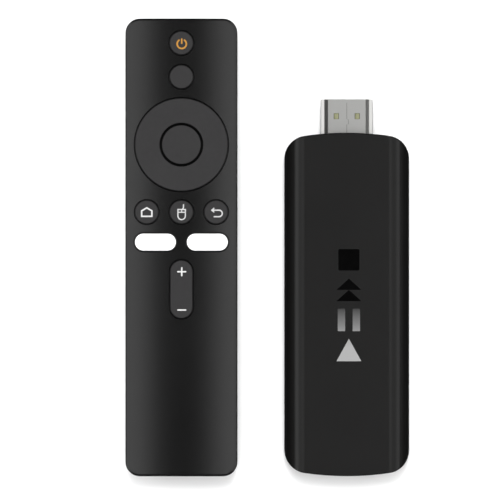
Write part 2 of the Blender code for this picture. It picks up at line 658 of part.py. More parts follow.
# ---- Remote: casing -------------------------------------------------------------------------------------------
def remote_form(name, material=None):
    plan = rounded_rectangle((0, 0), (REMOTE_WIDTH / 2, REMOTE_LENGTH / 2), REMOTE_CORNER, 6)
    body = prism(name, plan, "Z", -OVERCUT, REMOTE_HEIGHT + OVERCUT, material)
    section = prism(name + "_section", remote_section(), "Y", -REMOTE_LENGTH, REMOTE_LENGTH)
    side = prism(name + "_side_profile", remote_side_profile(), "X", -REMOTE_WIDTH, REMOTE_WIDTH)
    return keep_inside(shift(body, REMOTE_X), shift(section, REMOTE_X), shift(side, REMOTE_X))


def remote_cavity():
    half = (REMOTE_WIDTH / 2 - REMOTE_WALL, REMOTE_LENGTH / 2 - REMOTE_WALL)
    plan = rounded_rectangle((0, 0), half, REMOTE_CORNER - REMOTE_WALL, 5)
    body = prism("remote_cavity", plan, "Z", 0, REMOTE_HEIGHT)
    section = prism("remote_cavity_section", remote_cavity_section(), "Y", -REMOTE_LENGTH, REMOTE_LENGTH)
    return keep_inside(shift(body, REMOTE_X), shift(section, REMOTE_X))


def key_outline(at, half, grow=0.0):
    """A round key's circle or a long key's rounded bar, in world coordinates."""
    centre = (REMOTE_X + at[0], at[1])
    if half[0] == half[1]:
        steps = 48 if half[0] > 8 * MM else 28
        return circle(centre, half[0] + grow, steps)
    grown = (half[0] + grow, half[1] + grow)
    return rounded_rectangle(centre, grown, min(grown) - 0.01 * MM, 7)


def key_list():
    """(name, centre, half sizes) for each hole in the face."""
    keys = [(name, at, (ROUND_KEY, ROUND_KEY)) for name, at in ROUND_KEYS.items()]
    keys += [(name, at, APP_KEY_HALF) for name, at in APP_KEYS.items()]
    keys += [("volume_rocker", VOLUME_AT, VOLUME_HALF), ("dpad_ring", PAD_AT, (PAD_RADIUS, PAD_RADIUS))]
    return keys


def remote_top(cavity):
    slab = box(
        "remote_top_side",
        (REMOTE_X - REMOTE_WIDTH, -REMOTE_LENGTH, REMOTE_PART + REST_GAP / 2),
        (REMOTE_X + REMOTE_WIDTH, REMOTE_LENGTH, 2 * REMOTE_HEIGHT),
    )
    shell = cut(keep_inside(remote_form("remote_top_shell", REMOTE_CASING), slab), cavity)
    for name, at, half in key_list():
        outline = key_outline(at, half, KEY_GAP)
        cut(shell, prism(name + "_hole", outline, "Z", REMOTE_CEILING - OVERCUT, REMOTE_HEIGHT + OVERCUT))
    for i, (x, y) in enumerate(FIXING_SPOTS):
        foot = (REMOTE_X + x, y, RUBBER_SHEET_TOP - 0.15 * MM)
        boss = rod(f"fixing_boss_{i}", 1.6 * MM, foot, (REMOTE_X + x, y, REMOTE_CEILING + 0.3 * MM), sides=16)
        bore = rod(f"fixing_bore_{i}", 0.8 * MM, (foot[0], y, 12 * MM), (foot[0], y, 14.6 * MM), sides=12)
        cut(add(shell, boss), bore)
    pad_room = prism("pad_room", key_outline(PAD_AT, (PAD_RADIUS,) * 2, 1.2 * MM), "Z", 13.0 * MM, PAD_CEILING)
    return smooth(cut(shell, pad_room, ir_opening("top")), 30)


def ir_opening(side):
    reach = IR_HALF_WIDTH + REST_GAP
    return box(
        "ir_opening_" + side,
        (REMOTE_X - reach, -FOOT_Y - 2 * REMOTE_WALL, IR_Z[0] - REST_GAP),
        (REMOTE_X + reach, -FOOT_Y + OVERCUT, IR_Z[1] + REST_GAP),
    )


def remote_bottom(cavity):
    slab = box(
        "remote_bottom_side",
        (REMOTE_X - REMOTE_WIDTH, -REMOTE_LENGTH, -OVERCUT),
        (REMOTE_X + REMOTE_WIDTH, REMOTE_LENGTH, REMOTE_PART - REST_GAP / 2),
    )
    shell = cut(keep_inside(remote_form("remote_bottom_shell", REMOTE_CASING), slab), cavity)
    gap = 2 * REST_GAP
    opening = box(
        "bay_opening",
        (REMOTE_X - COVER_HALF_WIDTH - gap, FOOT_Y - OVERCUT, -OVERCUT),
        (REMOTE_X + COVER_HALF_WIDTH + gap, COVER_Y[1] + gap, COVER_TOP + REST_GAP),
    )
    bulkhead = box(
        "bay_bulkhead",
        (REMOTE_X - 13.3 * MM, BAY_Y[1], 3.0 * MM),
        (REMOTE_X + 13.3 * MM, BAY_Y[1] + BULKHEAD_THICK, 12.0 * MM),
    )
    notch = cover_lip("cover_notch", gap)
    add(cut(shell, opening, notch), bulkhead)
    return smooth(cut(shell, ir_opening("bottom")), 30)


def cover_lip(name, gap=0.0):
    """The lip at the cover's end. It fills the notch that its latch slides out through."""
    half = 3.0 * MM + gap
    low, high = (REMOTE_X - half, FOOT_Y - OVERCUT, 0.5 * MM), (REMOTE_X + half, BAY_Y[0] + REST_GAP, 2.3 * MM + gap)
    return box(name, low, high)


def battery_cover():
    cover = remote_form("battery_cover", REMOTE_CASING)
    zone = box(
        "cover_zone",
        (REMOTE_X - COVER_HALF_WIDTH, COVER_Y[0], -OVERCUT),
        (REMOTE_X + COVER_HALF_WIDTH, COVER_Y[1], COVER_TOP),
    )
    keep_inside(cover, add(zone, cover_lip("cover_lip")))
    riser = box(
        "latch_riser", (REMOTE_X - 2.5 * MM, -9.6 * MM, 0.5 * MM), (REMOTE_X + 2.5 * MM, -8.6 * MM, 2.2 * MM)
    )
    tongue = box(
        "latch_tongue", (REMOTE_X - 2.5 * MM, -9.0 * MM, 1.5 * MM), (REMOTE_X + 2.5 * MM, -7.0 * MM, 2.2 * MM)
    )
    add(cover, riser, tongue)
    for i in range(5):
        y = -15.0 * MM - i * 1.5 * MM
        half = (4.5 - 0.7 * i) * MM
        low, high = (REMOTE_X - half, y - 0.3 * MM, -OVERCUT), (REMOTE_X + half, y + 0.3 * MM, 0.35 * MM)
        cut(cover, box(f"cover_grip_{i}", low, high))
    return hang_on(smooth(cover, 30), "battery_cover_axis", (REMOTE_X, COVER_Y[1], 0))


def ir_window():
    window = remote_form("ir_window", WINDOW_PLASTIC)
    zone = box(
        "ir_window_zone",
        (REMOTE_X - IR_HALF_WIDTH, -FOOT_Y - REMOTE_WALL, IR_Z[0]),
        (REMOTE_X + IR_HALF_WIDTH, -FOOT_Y + OVERCUT, IR_Z[1]),
    )
    return keep_inside(window, zone)


# ---- Remote: keys ---------------------------------------------------------------------------------------------
def key_face(name):
    """Everything under the keys' crowned faces, as a body to intersect with."""
    line = crown_line(REMOTE_WIDTH / 2, KEY_PROUD)
    outline = mirrored([(REMOTE_WIDTH / 2, 10 * MM)] + line)
    return shift(prism(name, outline, "Y", -REMOTE_LENGTH, REMOTE_LENGTH), REMOTE_X)


def key_cap(name, at, half, foot, lip, lip_top, material, face):
    """A key: a straight plug with the casing's crown on top and a lip below that holds it in."""
    cap = prism(name, key_outline(at, half), "Z", foot, REMOTE_HEIGHT + OVERCUT, material)
    keep_inside(cap, face)
    if lip:
        add(cap, prism(name + "_lip", key_outline(at, half, lip), "Z", foot, lip_top))
    return smooth(cap, 30)


def pressed_keys(face):
    for name, at, half in key_list():
        if name in ("volume_rocker", "dpad_ring"):
            continue
        material = APP_PLASTIC if name in APP_KEYS else KEY_PLASTIC
        cap = key_cap(name, at, half, KEY_FOOT, KEY_LIP, KEY_LIP_TOP, material, face)
        hang_on(cap, name + "_axis", (REMOTE_X + at[0], at[1], KEY_FOOT))
    middle = key_cap("ok_key", PAD_AT, (OK_RADIUS, OK_RADIUS), KEY_FOOT, 0, 0, KEY_PLASTIC, face)
    hang_on(middle, "ok_key_axis", (REMOTE_X + PAD_AT[0], PAD_AT[1], KEY_FOOT))


def volume_rocker(face):
    lip = 0.5 * MM
    cap = key_cap("volume_rocker", VOLUME_AT, VOLUME_HALF, ROCKER_FOOT, lip, ROCKER_LIP_TOP, KEY_PLASTIC, face)
    return hang_on(cap, "volume_rocker_axis", (REMOTE_X + VOLUME_AT[0], VOLUME_AT[1], ROCKER_FOOT))


def dpad(face):
    """The ring for four directions, hollow below, and the silicone ring that it rocks on."""
    centre = (REMOTE_X + PAD_AT[0], PAD_AT[1])
    half = (PAD_RADIUS, PAD_RADIUS)
    ring = key_cap("dpad_ring", PAD_AT, half, RING_FOOT, PAD_LIP, RING_LIP_TOP, KEY_PLASTIC, face)
    hole = prism("dpad_hole", circle(centre, PAD_HOLE), "Z", 10 * MM, 20 * MM)
    hollow = prism("dpad_hollow", circle(centre, PAD_HOLLOW, 40), "Z", 10 * MM, 14.6 * MM)
    hub = prism("dpad_hub", circle(centre, PAD_HUB), "Z", 9 * MM, 21 * MM)
    cut(ring, cut(hollow, hub), hole)
    hang_on(ring, "dpad_side_axis", (*centre, RING_FOOT))
    rubber = prism("dpad_rubber", circle(centre, PAD_RUBBER_RADII[1], 40), "Z", *PAD_RUBBER_Z, SILICONE)
    cut(rubber, prism("dpad_rubber_hole", circle(centre, PAD_RUBBER_RADII[0]), "Z", 10 * MM, 20 * MM))
    hang_on(rubber, "dpad_updown_axis", (*centre, RING_FOOT))


# ---- Remote: board, rubber sheet and cells --------------------------------------------------------------------
def keyboard():
    middle = (REMOTE_X, (KEYBOARD_Y[0] + KEYBOARD_Y[1]) / 2)
    half = (KEYBOARD_HALF_WIDTH, (KEYBOARD_Y[1] - KEYBOARD_Y[0]) / 2)
    low = KEYBOARD_TOP - KEYBOARD_THICK
    board = prism("key_board", rounded_rectangle(middle, half, 2 * MM, 4), "Z", low, KEYBOARD_TOP, BOARD_GREEN)
    half = (half[0] - 0.3 * MM, half[1] - 0.5 * MM)
    outline = rounded_rectangle(middle, half, 2 * MM, 4)
    sheet = prism("rubber_sheet", outline, "Z", KEYBOARD_TOP + REST_GAP / 2, RUBBER_SHEET_TOP, SILICONE)
    for i, (x, y) in enumerate(FIXING_SPOTS):
        spot = (REMOTE_X + x, y)
        cut(board, rod(f"key_board_hole_{i}", 0.9 * MM, (*spot, 0), (*spot, REMOTE_HEIGHT), sides=12))
        cut(sheet, rod(f"rubber_sheet_hole_{i}", 1.9 * MM, (*spot, 0), (*spot, REMOTE_HEIGHT), sides=12))
        screw(f"fixing_screw_{i + 1}", (*spot, low - REST_GAP), 1, 2.2 * MM)
    cut(sheet, prism("rocker_room", key_outline(VOLUME_AT, VOLUME_HALF, 0.9 * MM), "Z", 12 * MM, 14 * MM))
    for name, at, half in key_list() + [("ok_key", PAD_AT, (OK_RADIUS, OK_RADIUS))]:
        if name in ("volume_rocker", "dpad_ring"):
            continue
        dome = min(half) - 0.9 * MM
        spot = (REMOTE_X + at[0], at[1])
        add(sheet, rod(name + "_dome", dome, (*spot, 13.0 * MM), (*spot, KEY_FOOT - REST_GAP / 2), sides=14))
    x = REMOTE_X
    box("controller_chip", (x - 3 * MM, 33 * MM, low - 0.9 * MM), (x + 3 * MM, 39 * MM, low - REST_GAP), CHIP_BLACK)
    can = rounded_rectangle((x + 6.5 * MM, 36 * MM), (1.5 * MM, 2.6 * MM), 1.45 * MM, 4)
    prism("timing_crystal", can, "Z", low - 1.1 * MM, low - REST_GAP, STEEL)


def ir_led():
    """The infrared lamp behind the window: a domed body along +Y, with two legs up to the board."""
    y, z, radius = 55.5 * MM, 9.3 * MM, 1.5 * MM
    dome = arc((0, 2.4 * MM), (radius, radius), 90, 0, 5)
    dome[0] = (0, dome[0][1])
    profile = dome + [(radius, 0.6 * MM), (1.8 * MM, 0.6 * MM), (1.8 * MM, 0), (0, 0)]
    lamp = turned("ir_led", profile, (REMOTE_X, y, z), (0, 1, 0), WINDOW_PLASTIC, 16)
    top = KEYBOARD_TOP - KEYBOARD_THICK - REST_GAP
    for side in (-1, 1):
        x = REMOTE_X + side * 0.9 * MM
        low, high = (x - 0.25 * MM, y - 0.7 * MM, z - 0.25 * MM), (x + 0.25 * MM, y + 0.3 * MM, z + 0.25 * MM)
        leg = ((x - 0.25 * MM, y - 0.7 * MM, z - 0.1 * MM), (x + 0.25 * MM, y - 0.2 * MM, top))
        add(lamp, box(f"ir_leg_root_{side}", low, high), box(f"ir_leg_{side}", *leg))
    return lamp


def cell(name, x, base_y, direction):
    """A AAA cell on its side: jacket, shoulder and the small positive nub at its far end."""
    nub, length = 1.9 * MM, CELL_LENGTH
    shoulder = length - 0.9 * MM
    profile = [(0, length), (nub, length), (nub, shoulder), (CELL_RADIUS - 0.5 * MM, shoulder)]
    profile += [(CELL_RADIUS, shoulder - 0.5 * MM), (CELL_RADIUS, 0.3 * MM), (CELL_RADIUS - 0.3 * MM, 0), (0, 0)]
    base = (REMOTE_X + x, base_y, CELL_Z)
    return smooth(turned(name, profile, base, (0, direction, 0), CELL_JACKET, 24))


def battery_bay():
    """Two cells in series, head to tail, between a joined pair of contacts and a separate pair."""
    left, right = -CELL_X, CELL_X
    link_y = BAY_Y[0] + REST_GAP
    plate_y = BAY_Y[1] - REST_GAP - CONTACT_THICK
    spring = 4.4 * MM
    low, high = CELL_Z - 3.5 * MM, CELL_Z + 3.5 * MM
    corners = ((REMOTE_X - 9.5 * MM, link_y, low), (REMOTE_X + 9.5 * MM, link_y + CONTACT_THICK, high))
    box("battery_link", *corners, STEEL)
    for name, x in (("positive_contact", left), ("negative_contact", right)):
        corners = ((REMOTE_X + x - 3.8 * MM, plate_y, low), (REMOTE_X + x + 3.8 * MM, plate_y + CONTACT_THICK, high))
        box(name, *corners, STEEL)
    base = link_y + CONTACT_THICK + REST_GAP / 2
    cell("battery_1", left, base + spring + REST_GAP / 2, 1)
    cell("battery_2", right, plate_y - spring - REST_GAP, -1)
    coil("battery_spring_1", left, base, 1, spring)
    coil("battery_spring_2", right, plate_y - REST_GAP / 2, -1, spring)


def coil(name, x, base_y, direction, length):
    """A cone-shaped contact spring, wide at its plate."""
    turns, per_turn, thick = 3.5, 12, 0.3 * MM
    count = int(turns * per_turn)
    points = []
    for i in range(count + 1):
        share = i / count
        angle = 2 * math.pi * turns * share
        radius = (3.2 - 1.4 * share) * MM
        along = thick + (length - 2 * thick) * share
        y = base_y + direction * along
        points.append((REMOTE_X + x + radius * math.cos(angle), y, CELL_Z + radius * math.sin(angle)))
    return wire(name, points, thick, STEEL, 1)


def main():
    stick_casing()
    display_plug()
    power_port()
    main_board()
    stick_electronics()
    cavity = remote_cavity()
    remote_top(cavity)
    remote_bottom(cavity)
    battery_cover()
    ir_window()
    face = key_face("key_face")
    pressed_keys(face)
    volume_rocker(face)
    dpad(face)
    keyboard()
    ir_led()
    battery_bay()


main()
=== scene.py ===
"""The looks of the streaming media player: its stick and its remote, face up on a pale floor.

Lengths are in metres. The casings and keys are rebuilt as fine solids on the frame's own boxes, and
shaded from their exact forms. Every other visible piece is a CAD node with a finished material.
"""

import math

import bmesh
import bpy
import numpy as np
from mathutils import Matrix, Vector


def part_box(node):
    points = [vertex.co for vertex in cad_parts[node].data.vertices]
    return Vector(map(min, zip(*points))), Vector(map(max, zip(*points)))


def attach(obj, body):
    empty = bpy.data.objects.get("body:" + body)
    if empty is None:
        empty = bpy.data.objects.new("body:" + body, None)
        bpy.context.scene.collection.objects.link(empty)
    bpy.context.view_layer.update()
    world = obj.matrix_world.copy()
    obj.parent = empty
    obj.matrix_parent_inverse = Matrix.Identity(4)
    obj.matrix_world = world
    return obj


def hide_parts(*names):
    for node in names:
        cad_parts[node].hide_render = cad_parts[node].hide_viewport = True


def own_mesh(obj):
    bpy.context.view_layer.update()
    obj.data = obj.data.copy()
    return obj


MM = 0.001
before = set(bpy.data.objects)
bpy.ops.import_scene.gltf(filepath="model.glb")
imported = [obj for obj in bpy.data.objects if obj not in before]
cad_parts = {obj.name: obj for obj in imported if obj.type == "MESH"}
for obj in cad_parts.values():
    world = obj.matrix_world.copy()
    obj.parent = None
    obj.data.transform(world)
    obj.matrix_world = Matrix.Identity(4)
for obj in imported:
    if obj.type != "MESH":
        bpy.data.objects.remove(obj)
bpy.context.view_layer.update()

# ---- Places and sizes read from the frame ----
def plan(low, high):
    """(middle, half sizes) of a box, seen from above."""
    return ((low.x + high.x) / 2, (low.y + high.y) / 2), ((high.x - low.x) / 2, (high.y - low.y) / 2)


def middle_of(node):
    low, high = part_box(node)
    return (*plan(low, high)[0], (low.z + high.z) / 2)


STICK_LOW, STICK_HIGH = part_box("stick_bottom_shell")[0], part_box("stick_top_shell")[1]
REMOTE_LOW, REMOTE_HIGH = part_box("remote_bottom_shell")[0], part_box("remote_top_shell")[1]
(STICK_X, STICK_Y), STICK_HALF = plan(STICK_LOW, STICK_HIGH)
(REMOTE_X, REMOTE_Y), REMOTE_HALF = plan(REMOTE_LOW, REMOTE_HIGH)
STICK_MID = (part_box("stick_top_shell")[0].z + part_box("stick_bottom_shell")[1].z) / 2
SEAM = (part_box("stick_top_shell")[0].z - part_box("stick_bottom_shell")[1].z) / 2
REMOTE_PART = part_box("remote_top_shell")[0].z - SEAM

# ---- Forms of the casings ----
WALL = 1.3 * MM
PAST = 1.0 * MM  # how far a cutter runs past what it cuts
STICK_FLAT = 11.0 * MM  # half width of its flat faces
STICK_CORNER = 6.2 * MM
STICK_END_RADIUS = 79.0 * MM
STICK_EDGE = 0.35 * MM
CROWN = 140.0 * MM  # radius of the crown across the remote's face
REMOTE_CORNER = 3.8 * MM
REMOTE_EDGE = 0.8 * MM
REMOTE_FLAT = 8.5 * MM
REMOTE_SHOULDER = 6.5 * MM
REMOTE_HEEL = 3.0 * MM
CEILING = 14.2 * MM
KEY_PROUD = 0.35 * MM
KEY_GAP = 0.3 * MM
KEY_EDGE = 0.22 * MM
KEY_LIP = 0.55 * MM  # how far a key's foot reaches past its sides
RING_HOLE = 5.8 * MM
RING_LIP = 0.7 * MM
RING_ROOM_TOP = 14.45 * MM  # the face is thinner over the ring's lip
PLUG_SKIN = 0.35 * MM
PRESSED_KEYS = ["power_key", "voice_key", "home_key", "pointer_key", "back_key"]
PRESSED_KEYS += ["left_app_key", "right_app_key", "ok_key"]


# ---- Exact forms, as fields that are 0 on the surface and negative inside ----
def meet(a, b, radius):
    """Where two fields meet, with the edge between them rounded."""
    u, v = a + radius, b + radius
    return np.hypot(np.maximum(u, 0), np.maximum(v, 0)) + np.minimum(np.maximum(u, v), 0) - radius


def rounded_box(x, y, half_x, half_y, radius):
    u, v = np.abs(x) - half_x + radius, np.abs(y) - half_y + radius
    return np.hypot(np.maximum(u, 0), np.maximum(v, 0)) + np.minimum(np.maximum(u, v), 0) - radius


def stick_corner_geometry(inset=0.0):
    """(corner centre x, corner centre y, angle where the corner runs into the end's arc)."""
    corner, end = STICK_CORNER - inset, STICK_END_RADIUS - inset
    x = STICK_HALF[0] - inset - corner
    lean = math.asin(x / (end - corner))
    y = STICK_HALF[1] - inset - end + (end - corner) * math.cos(lean)
    return x, y, math.pi / 2 - lean


def stick_field(p):
    x, y, z = np.abs(p[:, 0] - STICK_X), np.abs(p[:, 1] - STICK_Y), p[:, 2] - STICK_MID
    cx, cy, turn = stick_corner_geometry()
    end_centre = STICK_HALF[1] - STICK_END_RADIUS
    angle = np.arctan2(y - cy, x - cx)
    corner = np.hypot(x - cx, y - cy) - STICK_CORNER
    end = np.hypot(x, y - end_centre) - STICK_END_RADIUS
    side = x - STICK_HALF[0]
    plan = np.where((angle > 0) & (angle < turn) & (y > cy), corner, np.where(y > cy, end, side))
    plan = np.where((x < cx) & (y < cy), np.maximum(side, end), plan)
    rx, rz = STICK_HALF[0] - STICK_FLAT, STICK_MID
    u, v = np.maximum(x - STICK_FLAT, 0) / rx, z / rz
    k = np.maximum(np.hypot(u, v), 1e-9)
    section = (k - 1) * k / np.maximum(np.hypot(u / rx, v / rz), 1e-9)
    return meet(section, plan, STICK_EDGE)


def crown(x):
    """The height of the remote's face, at x from its middle line."""
    return REMOTE_HIGH.z - CROWN + np.sqrt(CROWN**2 - np.square(x))


def back_half_width(z, inset=0.0):
    """The remote's half width at a height: a curved back below its shoulder, then straight sides."""
    full, shoulder = REMOTE_HALF[0] - inset, REMOTE_SHOULDER
    drop = np.clip((shoulder - z) / (shoulder - inset), 0, 1)
    return REMOTE_FLAT + (full - REMOTE_FLAT) * np.sqrt(1 - drop**2)


def back_half_length(z):
    drop = np.clip(REMOTE_HEEL - z, 0, REMOTE_HEEL)
    return REMOTE_HALF[1] - REMOTE_HEEL + np.sqrt(REMOTE_HEEL**2 - drop**2)


def remote_field(p):
    x, y, z = p[:, 0] - REMOTE_X, p[:, 1] - REMOTE_Y, p[:, 2]
    side = rounded_box(x, y, back_half_width(z), back_half_length(z), REMOTE_CORNER)
    return meet(side, z - crown(np.clip(x, -0.02, 0.02)), REMOTE_EDGE)


def key_field(centre, half, radius, hole=0.0):
    """The form of a key whose outline is a round-ended bar or a disc. It may have a round hole."""

    def field(p):
        x, y = p[:, 0] - centre[0], p[:, 1] - centre[1]
        side = rounded_box(x, y, half[0], half[1], radius)
        if hole:
            side = np.maximum(side, hole - np.hypot(x, y))
        top = p[:, 2] - crown(p[:, 0] - REMOTE_X) - KEY_PROUD
        return meet(side, top, KEY_EDGE)

    return field


def gradients(field, p):
    step = 2e-6
    parts = [field(p + offset) - field(p - offset) for offset in np.eye(3) * step]
    g = np.stack(parts, axis=1)
    return g / np.maximum(np.linalg.norm(g, axis=1, keepdims=True), 1e-12)


# ---- Outlines ----
def arc(centre, radius, start, end, steps):
    """Points on an arc from start to end, in degrees, both ends included."""
    angles = [math.radians(start + (end - start) * i / steps) for i in range(steps + 1)]
    return [(centre[0] + radius * math.cos(a), centre[1] + radius * math.sin(a)) for a in angles]


def bar(centre, half, radius, steps=16, along=1):
    """A rectangle with round corners, whose upper and lower sides are cut into along pieces."""
    across, up = half[0] - radius, half[1] - radius
    points = []
    for i, (sx, sy) in enumerate(((1, 1), (-1, 1), (-1, -1), (1, -1))):
        corner = (centre[0] + sx * across, centre[1] + sy * up)
        points += arc(corner, radius, 90 * i, 90 * i + 90, steps)
        if i in (0, 2):
            start = points[-1]
            points += [(start[0] - sx * 2 * across * t / along, start[1]) for t in range(1, along)]
    return points


def disc(centre, radius, steps=64):
    return arc(centre, radius, 0, 360, steps)[:-1]


def raised(outline, height):
    """An outline as a loop in space, at one height or at height(x, y)."""
    if callable(height):
        return [(x, y, float(height(x, y))) for x, y in outline]
    return [(x, y, height) for x, y in outline]


# ---- Solids from loops ----
def loft(loops, closed=False):
    """(points, faces) through loops of equally many points: capped, or a ring if closed."""
    n = len(loops[0])
    points = [p for loop in loops for p in loop]
    pairs = list(zip(range(len(loops) - 1), range(1, len(loops))))
    if closed:
        pairs.append((len(loops) - 1, 0))
    faces = []
    for a, b in pairs:
        for i in range(n):
            j = (i + 1) % n
            faces.append((a * n + i, a * n + j, b * n + j, b * n + i))
    if not closed:
        faces.append(tuple(range(n))[::-1])
        faces.append(tuple((len(loops) - 1) * n + i for i in range(n)))
    return points, faces


def joined(*solids):
    points, faces = [], []
    for more_points, more_faces in solids:
        start = len(points)
        points += more_points
        faces += [tuple(start + i for i in face) for face in more_faces]
    return points, faces


def box_solid(low, high):
    xs, ys = (low[0], high[0]), (low[1], high[1])
    outline = [(xs[0], ys[0]), (xs[1], ys[0]), (xs[1], ys[1]), (xs[0], ys[1])]
    return loft([raised(outline, low[2]), raised(outline, high[2])])


def rod_solid(start, end, radius, steps=32):
    """A round rod between two points that differ along one axis."""
    start, end = Vector(start), Vector(end)
    turn = (end - start).to_track_quat("Z", "Y")
    loops = []
    for foot in (start, end):
        loops.append([tuple(foot + turn @ Vector((x, y, 0))) for x, y in disc((0, 0), radius, steps)])
    return loft(loops)


def in_scene(name, data):
    """A new object in the scene's collection."""
    obj = bpy.data.objects.new(name, data)
    bpy.context.scene.collection.objects.link(obj)
    return obj


def new_object(name, solid):
    """An object from (points, faces), with doubles welded and its faces pointing out."""
    mesh = bpy.data.meshes.new(name)
    mesh.from_pydata([tuple(p) for p in solid[0]], [], solid[1])
    bm = bmesh.new()
    bm.from_mesh(mesh)
    bmesh.ops.remove_doubles(bm, verts=bm.verts, dist=1e-7)
    bmesh.ops.dissolve_degenerate(bm, edges=bm.edges, dist=1e-7)
    bmesh.ops.recalc_face_normals(bm, faces=bm.faces)
    bm.to_mesh(mesh)
    bm.free()
    return in_scene(name, mesh)


def apply_modifiers(obj):
    """Replaces the object's mesh by what its modifiers make of it."""
    bpy.context.view_layer.update()
    graph = bpy.context.evaluated_depsgraph_get()
    mesh = bpy.data.meshes.new_from_object(obj.evaluated_get(graph))
    obj.modifiers.clear()
    old, obj.data = obj.data, mesh
    mesh.name = obj.name
    bpy.data.meshes.remove(old)
    return obj


def carve(obj, solid, operation="DIFFERENCE"):
    """One Boolean with a throwaway cutter, applied."""
    cutter = new_object("cutter", solid)
    modifier = obj.modifiers.new("carve", "BOOLEAN")
    modifier.operation = operation
    modifier.object = cutter
    modifier.solver = "EXACT"
    apply_modifiers(obj)
    bpy.data.objects.remove(cutter, do_unlink=True)
    return obj


def shade(obj, field=None, sharp=30):
    """Smooth shading with sharp edges, and exact normals wherever a face lies on the form."""
    mesh = obj.data
    mesh.shade_smooth()
    mesh.set_sharp_from_angle(angle=math.radians(sharp))
    if field is None:
        # Weighted by area, so that small roundings don't bend the shading of the flats beside them.
        modifier = obj.modifiers.new("weights", "WEIGHTED_NORMAL")
        modifier.keep_sharp = True
        modifier.weight = 90
        return apply_modifiers(obj)
    p = np.array([v.co for v in mesh.vertices], float)
    exact = gradients(field, p)
    on_form = np.abs(field(p)) < 0.012 * MM
    normals = [Vector(n.vector) for n in mesh.corner_normals]
    for face in mesh.polygons:
        corners = list(face.vertices)
        if on_form[corners].all() and np.dot(exact[corners], np.array(face.normal)).min() >= 0.75:
            for loop, vertex in zip(face.loop_indices, corners):
                normals[loop] = Vector(exact[vertex])
    mesh.normals_split_custom_set(normals)
    return obj


def finish_piece(obj, body, slot, material, *replaced):
    obj.data.materials.clear()
    obj.data.materials.append(material)
    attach(obj, body)
    if replaced:
        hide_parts(*replaced)
    return obj


# ---- Materials ----
class Nodes:
    """A Principled material and a few shorthands for the nodes behind it."""

    def __init__(self, name, colour, roughness, metallic=0.0, specular=0.5):
        self.material = bpy.data.materials.new(name)
        self.material.use_nodes = True
        self.material.diffuse_color = (*colour, 1)
        self.tree = self.material.node_tree
        self.shader = self.tree.nodes["Principled BSDF"]
        self.set(self.shader, "Base Color", (*colour, 1))
        self.set(self.shader, "Roughness", roughness)
        self.set(self.shader, "Metallic", metallic)
        self.set(self.shader, "Specular IOR Level", specular)
        self.place = self.tree.nodes.new("ShaderNodeTexCoord").outputs["Object"]

    def set(self, node, socket, value):
        node.inputs[socket].default_value = value

    def link(self, output, node, socket):
        self.tree.links.new(output, node.inputs[socket])

    def noise(self, scale, detail=2.0, roughness=0.5, stretch=None):
        """Noise at scale lumps a metre. stretch multiplies the scale along each axis."""
        node = self.tree.nodes.new("ShaderNodeTexNoise")
        self.set(node, "Scale", scale)
        self.set(node, "Detail", detail)
        self.set(node, "Roughness", roughness)
        place = self.place
        if stretch:
            mapping = self.tree.nodes.new("ShaderNodeMapping")
            self.set(mapping, "Scale", stretch)
            self.link(place, mapping, "Vector")
            place = mapping.outputs["Vector"]
        self.link(place, node, "Vector")
        return node.outputs["Fac"]

    def spread(self, value, low, high, from_low=0.3, from_high=0.7):
        """A value mapped to low..high."""
        node = self.tree.nodes.new("ShaderNodeMapRange")
        self.set(node, "From Min", from_low)
        self.set(node, "From Max", from_high)
        self.set(node, "To Min", low)
        self.set(node, "To Max", high)
        self.link(value, node, "Value")
        return node.outputs["Result"]

    def blend(self, value, first, second):
        """A colour between two, by a value from 0 to 1."""
        node = self.tree.nodes.new("ShaderNodeMix")
        node.data_type = "RGBA"
        colours = [s for s in node.inputs if s.type == "RGBA"]
        colours[0].default_value = (*first, 1)
        colours[1].default_value = (*second, 1)
        self.tree.links.new(value, node.inputs[0])
        return [s for s in node.outputs if s.type == "RGBA"][0]

    def bump(self, value, height, strength=1.0):
        node = self.tree.nodes.new("ShaderNodeBump")
        self.set(node, "Strength", strength)
        self.set(node, "Distance", height)
        self.link(value, node, "Height")
        self.link(node.outputs["Normal"], self.shader, "Normal")


def grained_plastic(name, colour, roughness, specular, grain=0.006 * MM, scale=5500.0):
    """Moulded plastic: a fine grain, and a roughness that drifts a little with handling."""
    m = Nodes(name, colour, roughness, specular=specular)
    m.bump(m.noise(scale, 3.0, 0.6), grain)
    drift = m.noise(70.0, 3.0, 0.6)
    m.link(m.spread(drift, roughness * 0.96, roughness * 1.05), m.shader, "Roughness")
    darker = tuple(c * 0.9 for c in colour)
    lighter = tuple(c * 1.1 for c in colour)
    m.link(m.blend(m.noise(900.0, 2.0, 0.5), darker, lighter), m.shader, "Base Color")
    return m.material


def metal(name, colour, roughness, brushed=(1, 1, 1), scale=2500.0, height=0.002 * MM, uneven=0.055):
    """Sheet metal, with fine marks drawn out along one axis."""
    m = Nodes(name, colour, roughness, metallic=1.0)
    marks = m.noise(scale, 2.0, 0.5, brushed)
    m.bump(marks, height)
    m.link(m.spread(marks, roughness - uneven, roughness + uneven), m.shader, "Roughness")
    return m.material


def board_material(name):
    """Green solder mask over copper: faint tracks and tinned spots."""
    m = Nodes(name, (0.01, 0.08, 0.035), 0.35)
    brick = m.tree.nodes.new("ShaderNodeTexBrick")
    m.set(brick, "Scale", 380.0)
    m.set(brick, "Mortar Size", 0.08)
    m.set(brick, "Color1", (0.008, 0.075, 0.032, 1))
    m.set(brick, "Color2", (0.010, 0.066, 0.030, 1))
    m.set(brick, "Mortar", (0.022, 0.13, 0.06, 1))
    m.link(m.place, brick, "Vector")
    m.link(brick.outputs["Color"], m.shader, "Base Color")
    m.bump(brick.outputs["Fac"], 0.02 * MM, 0.5)
    return m.material


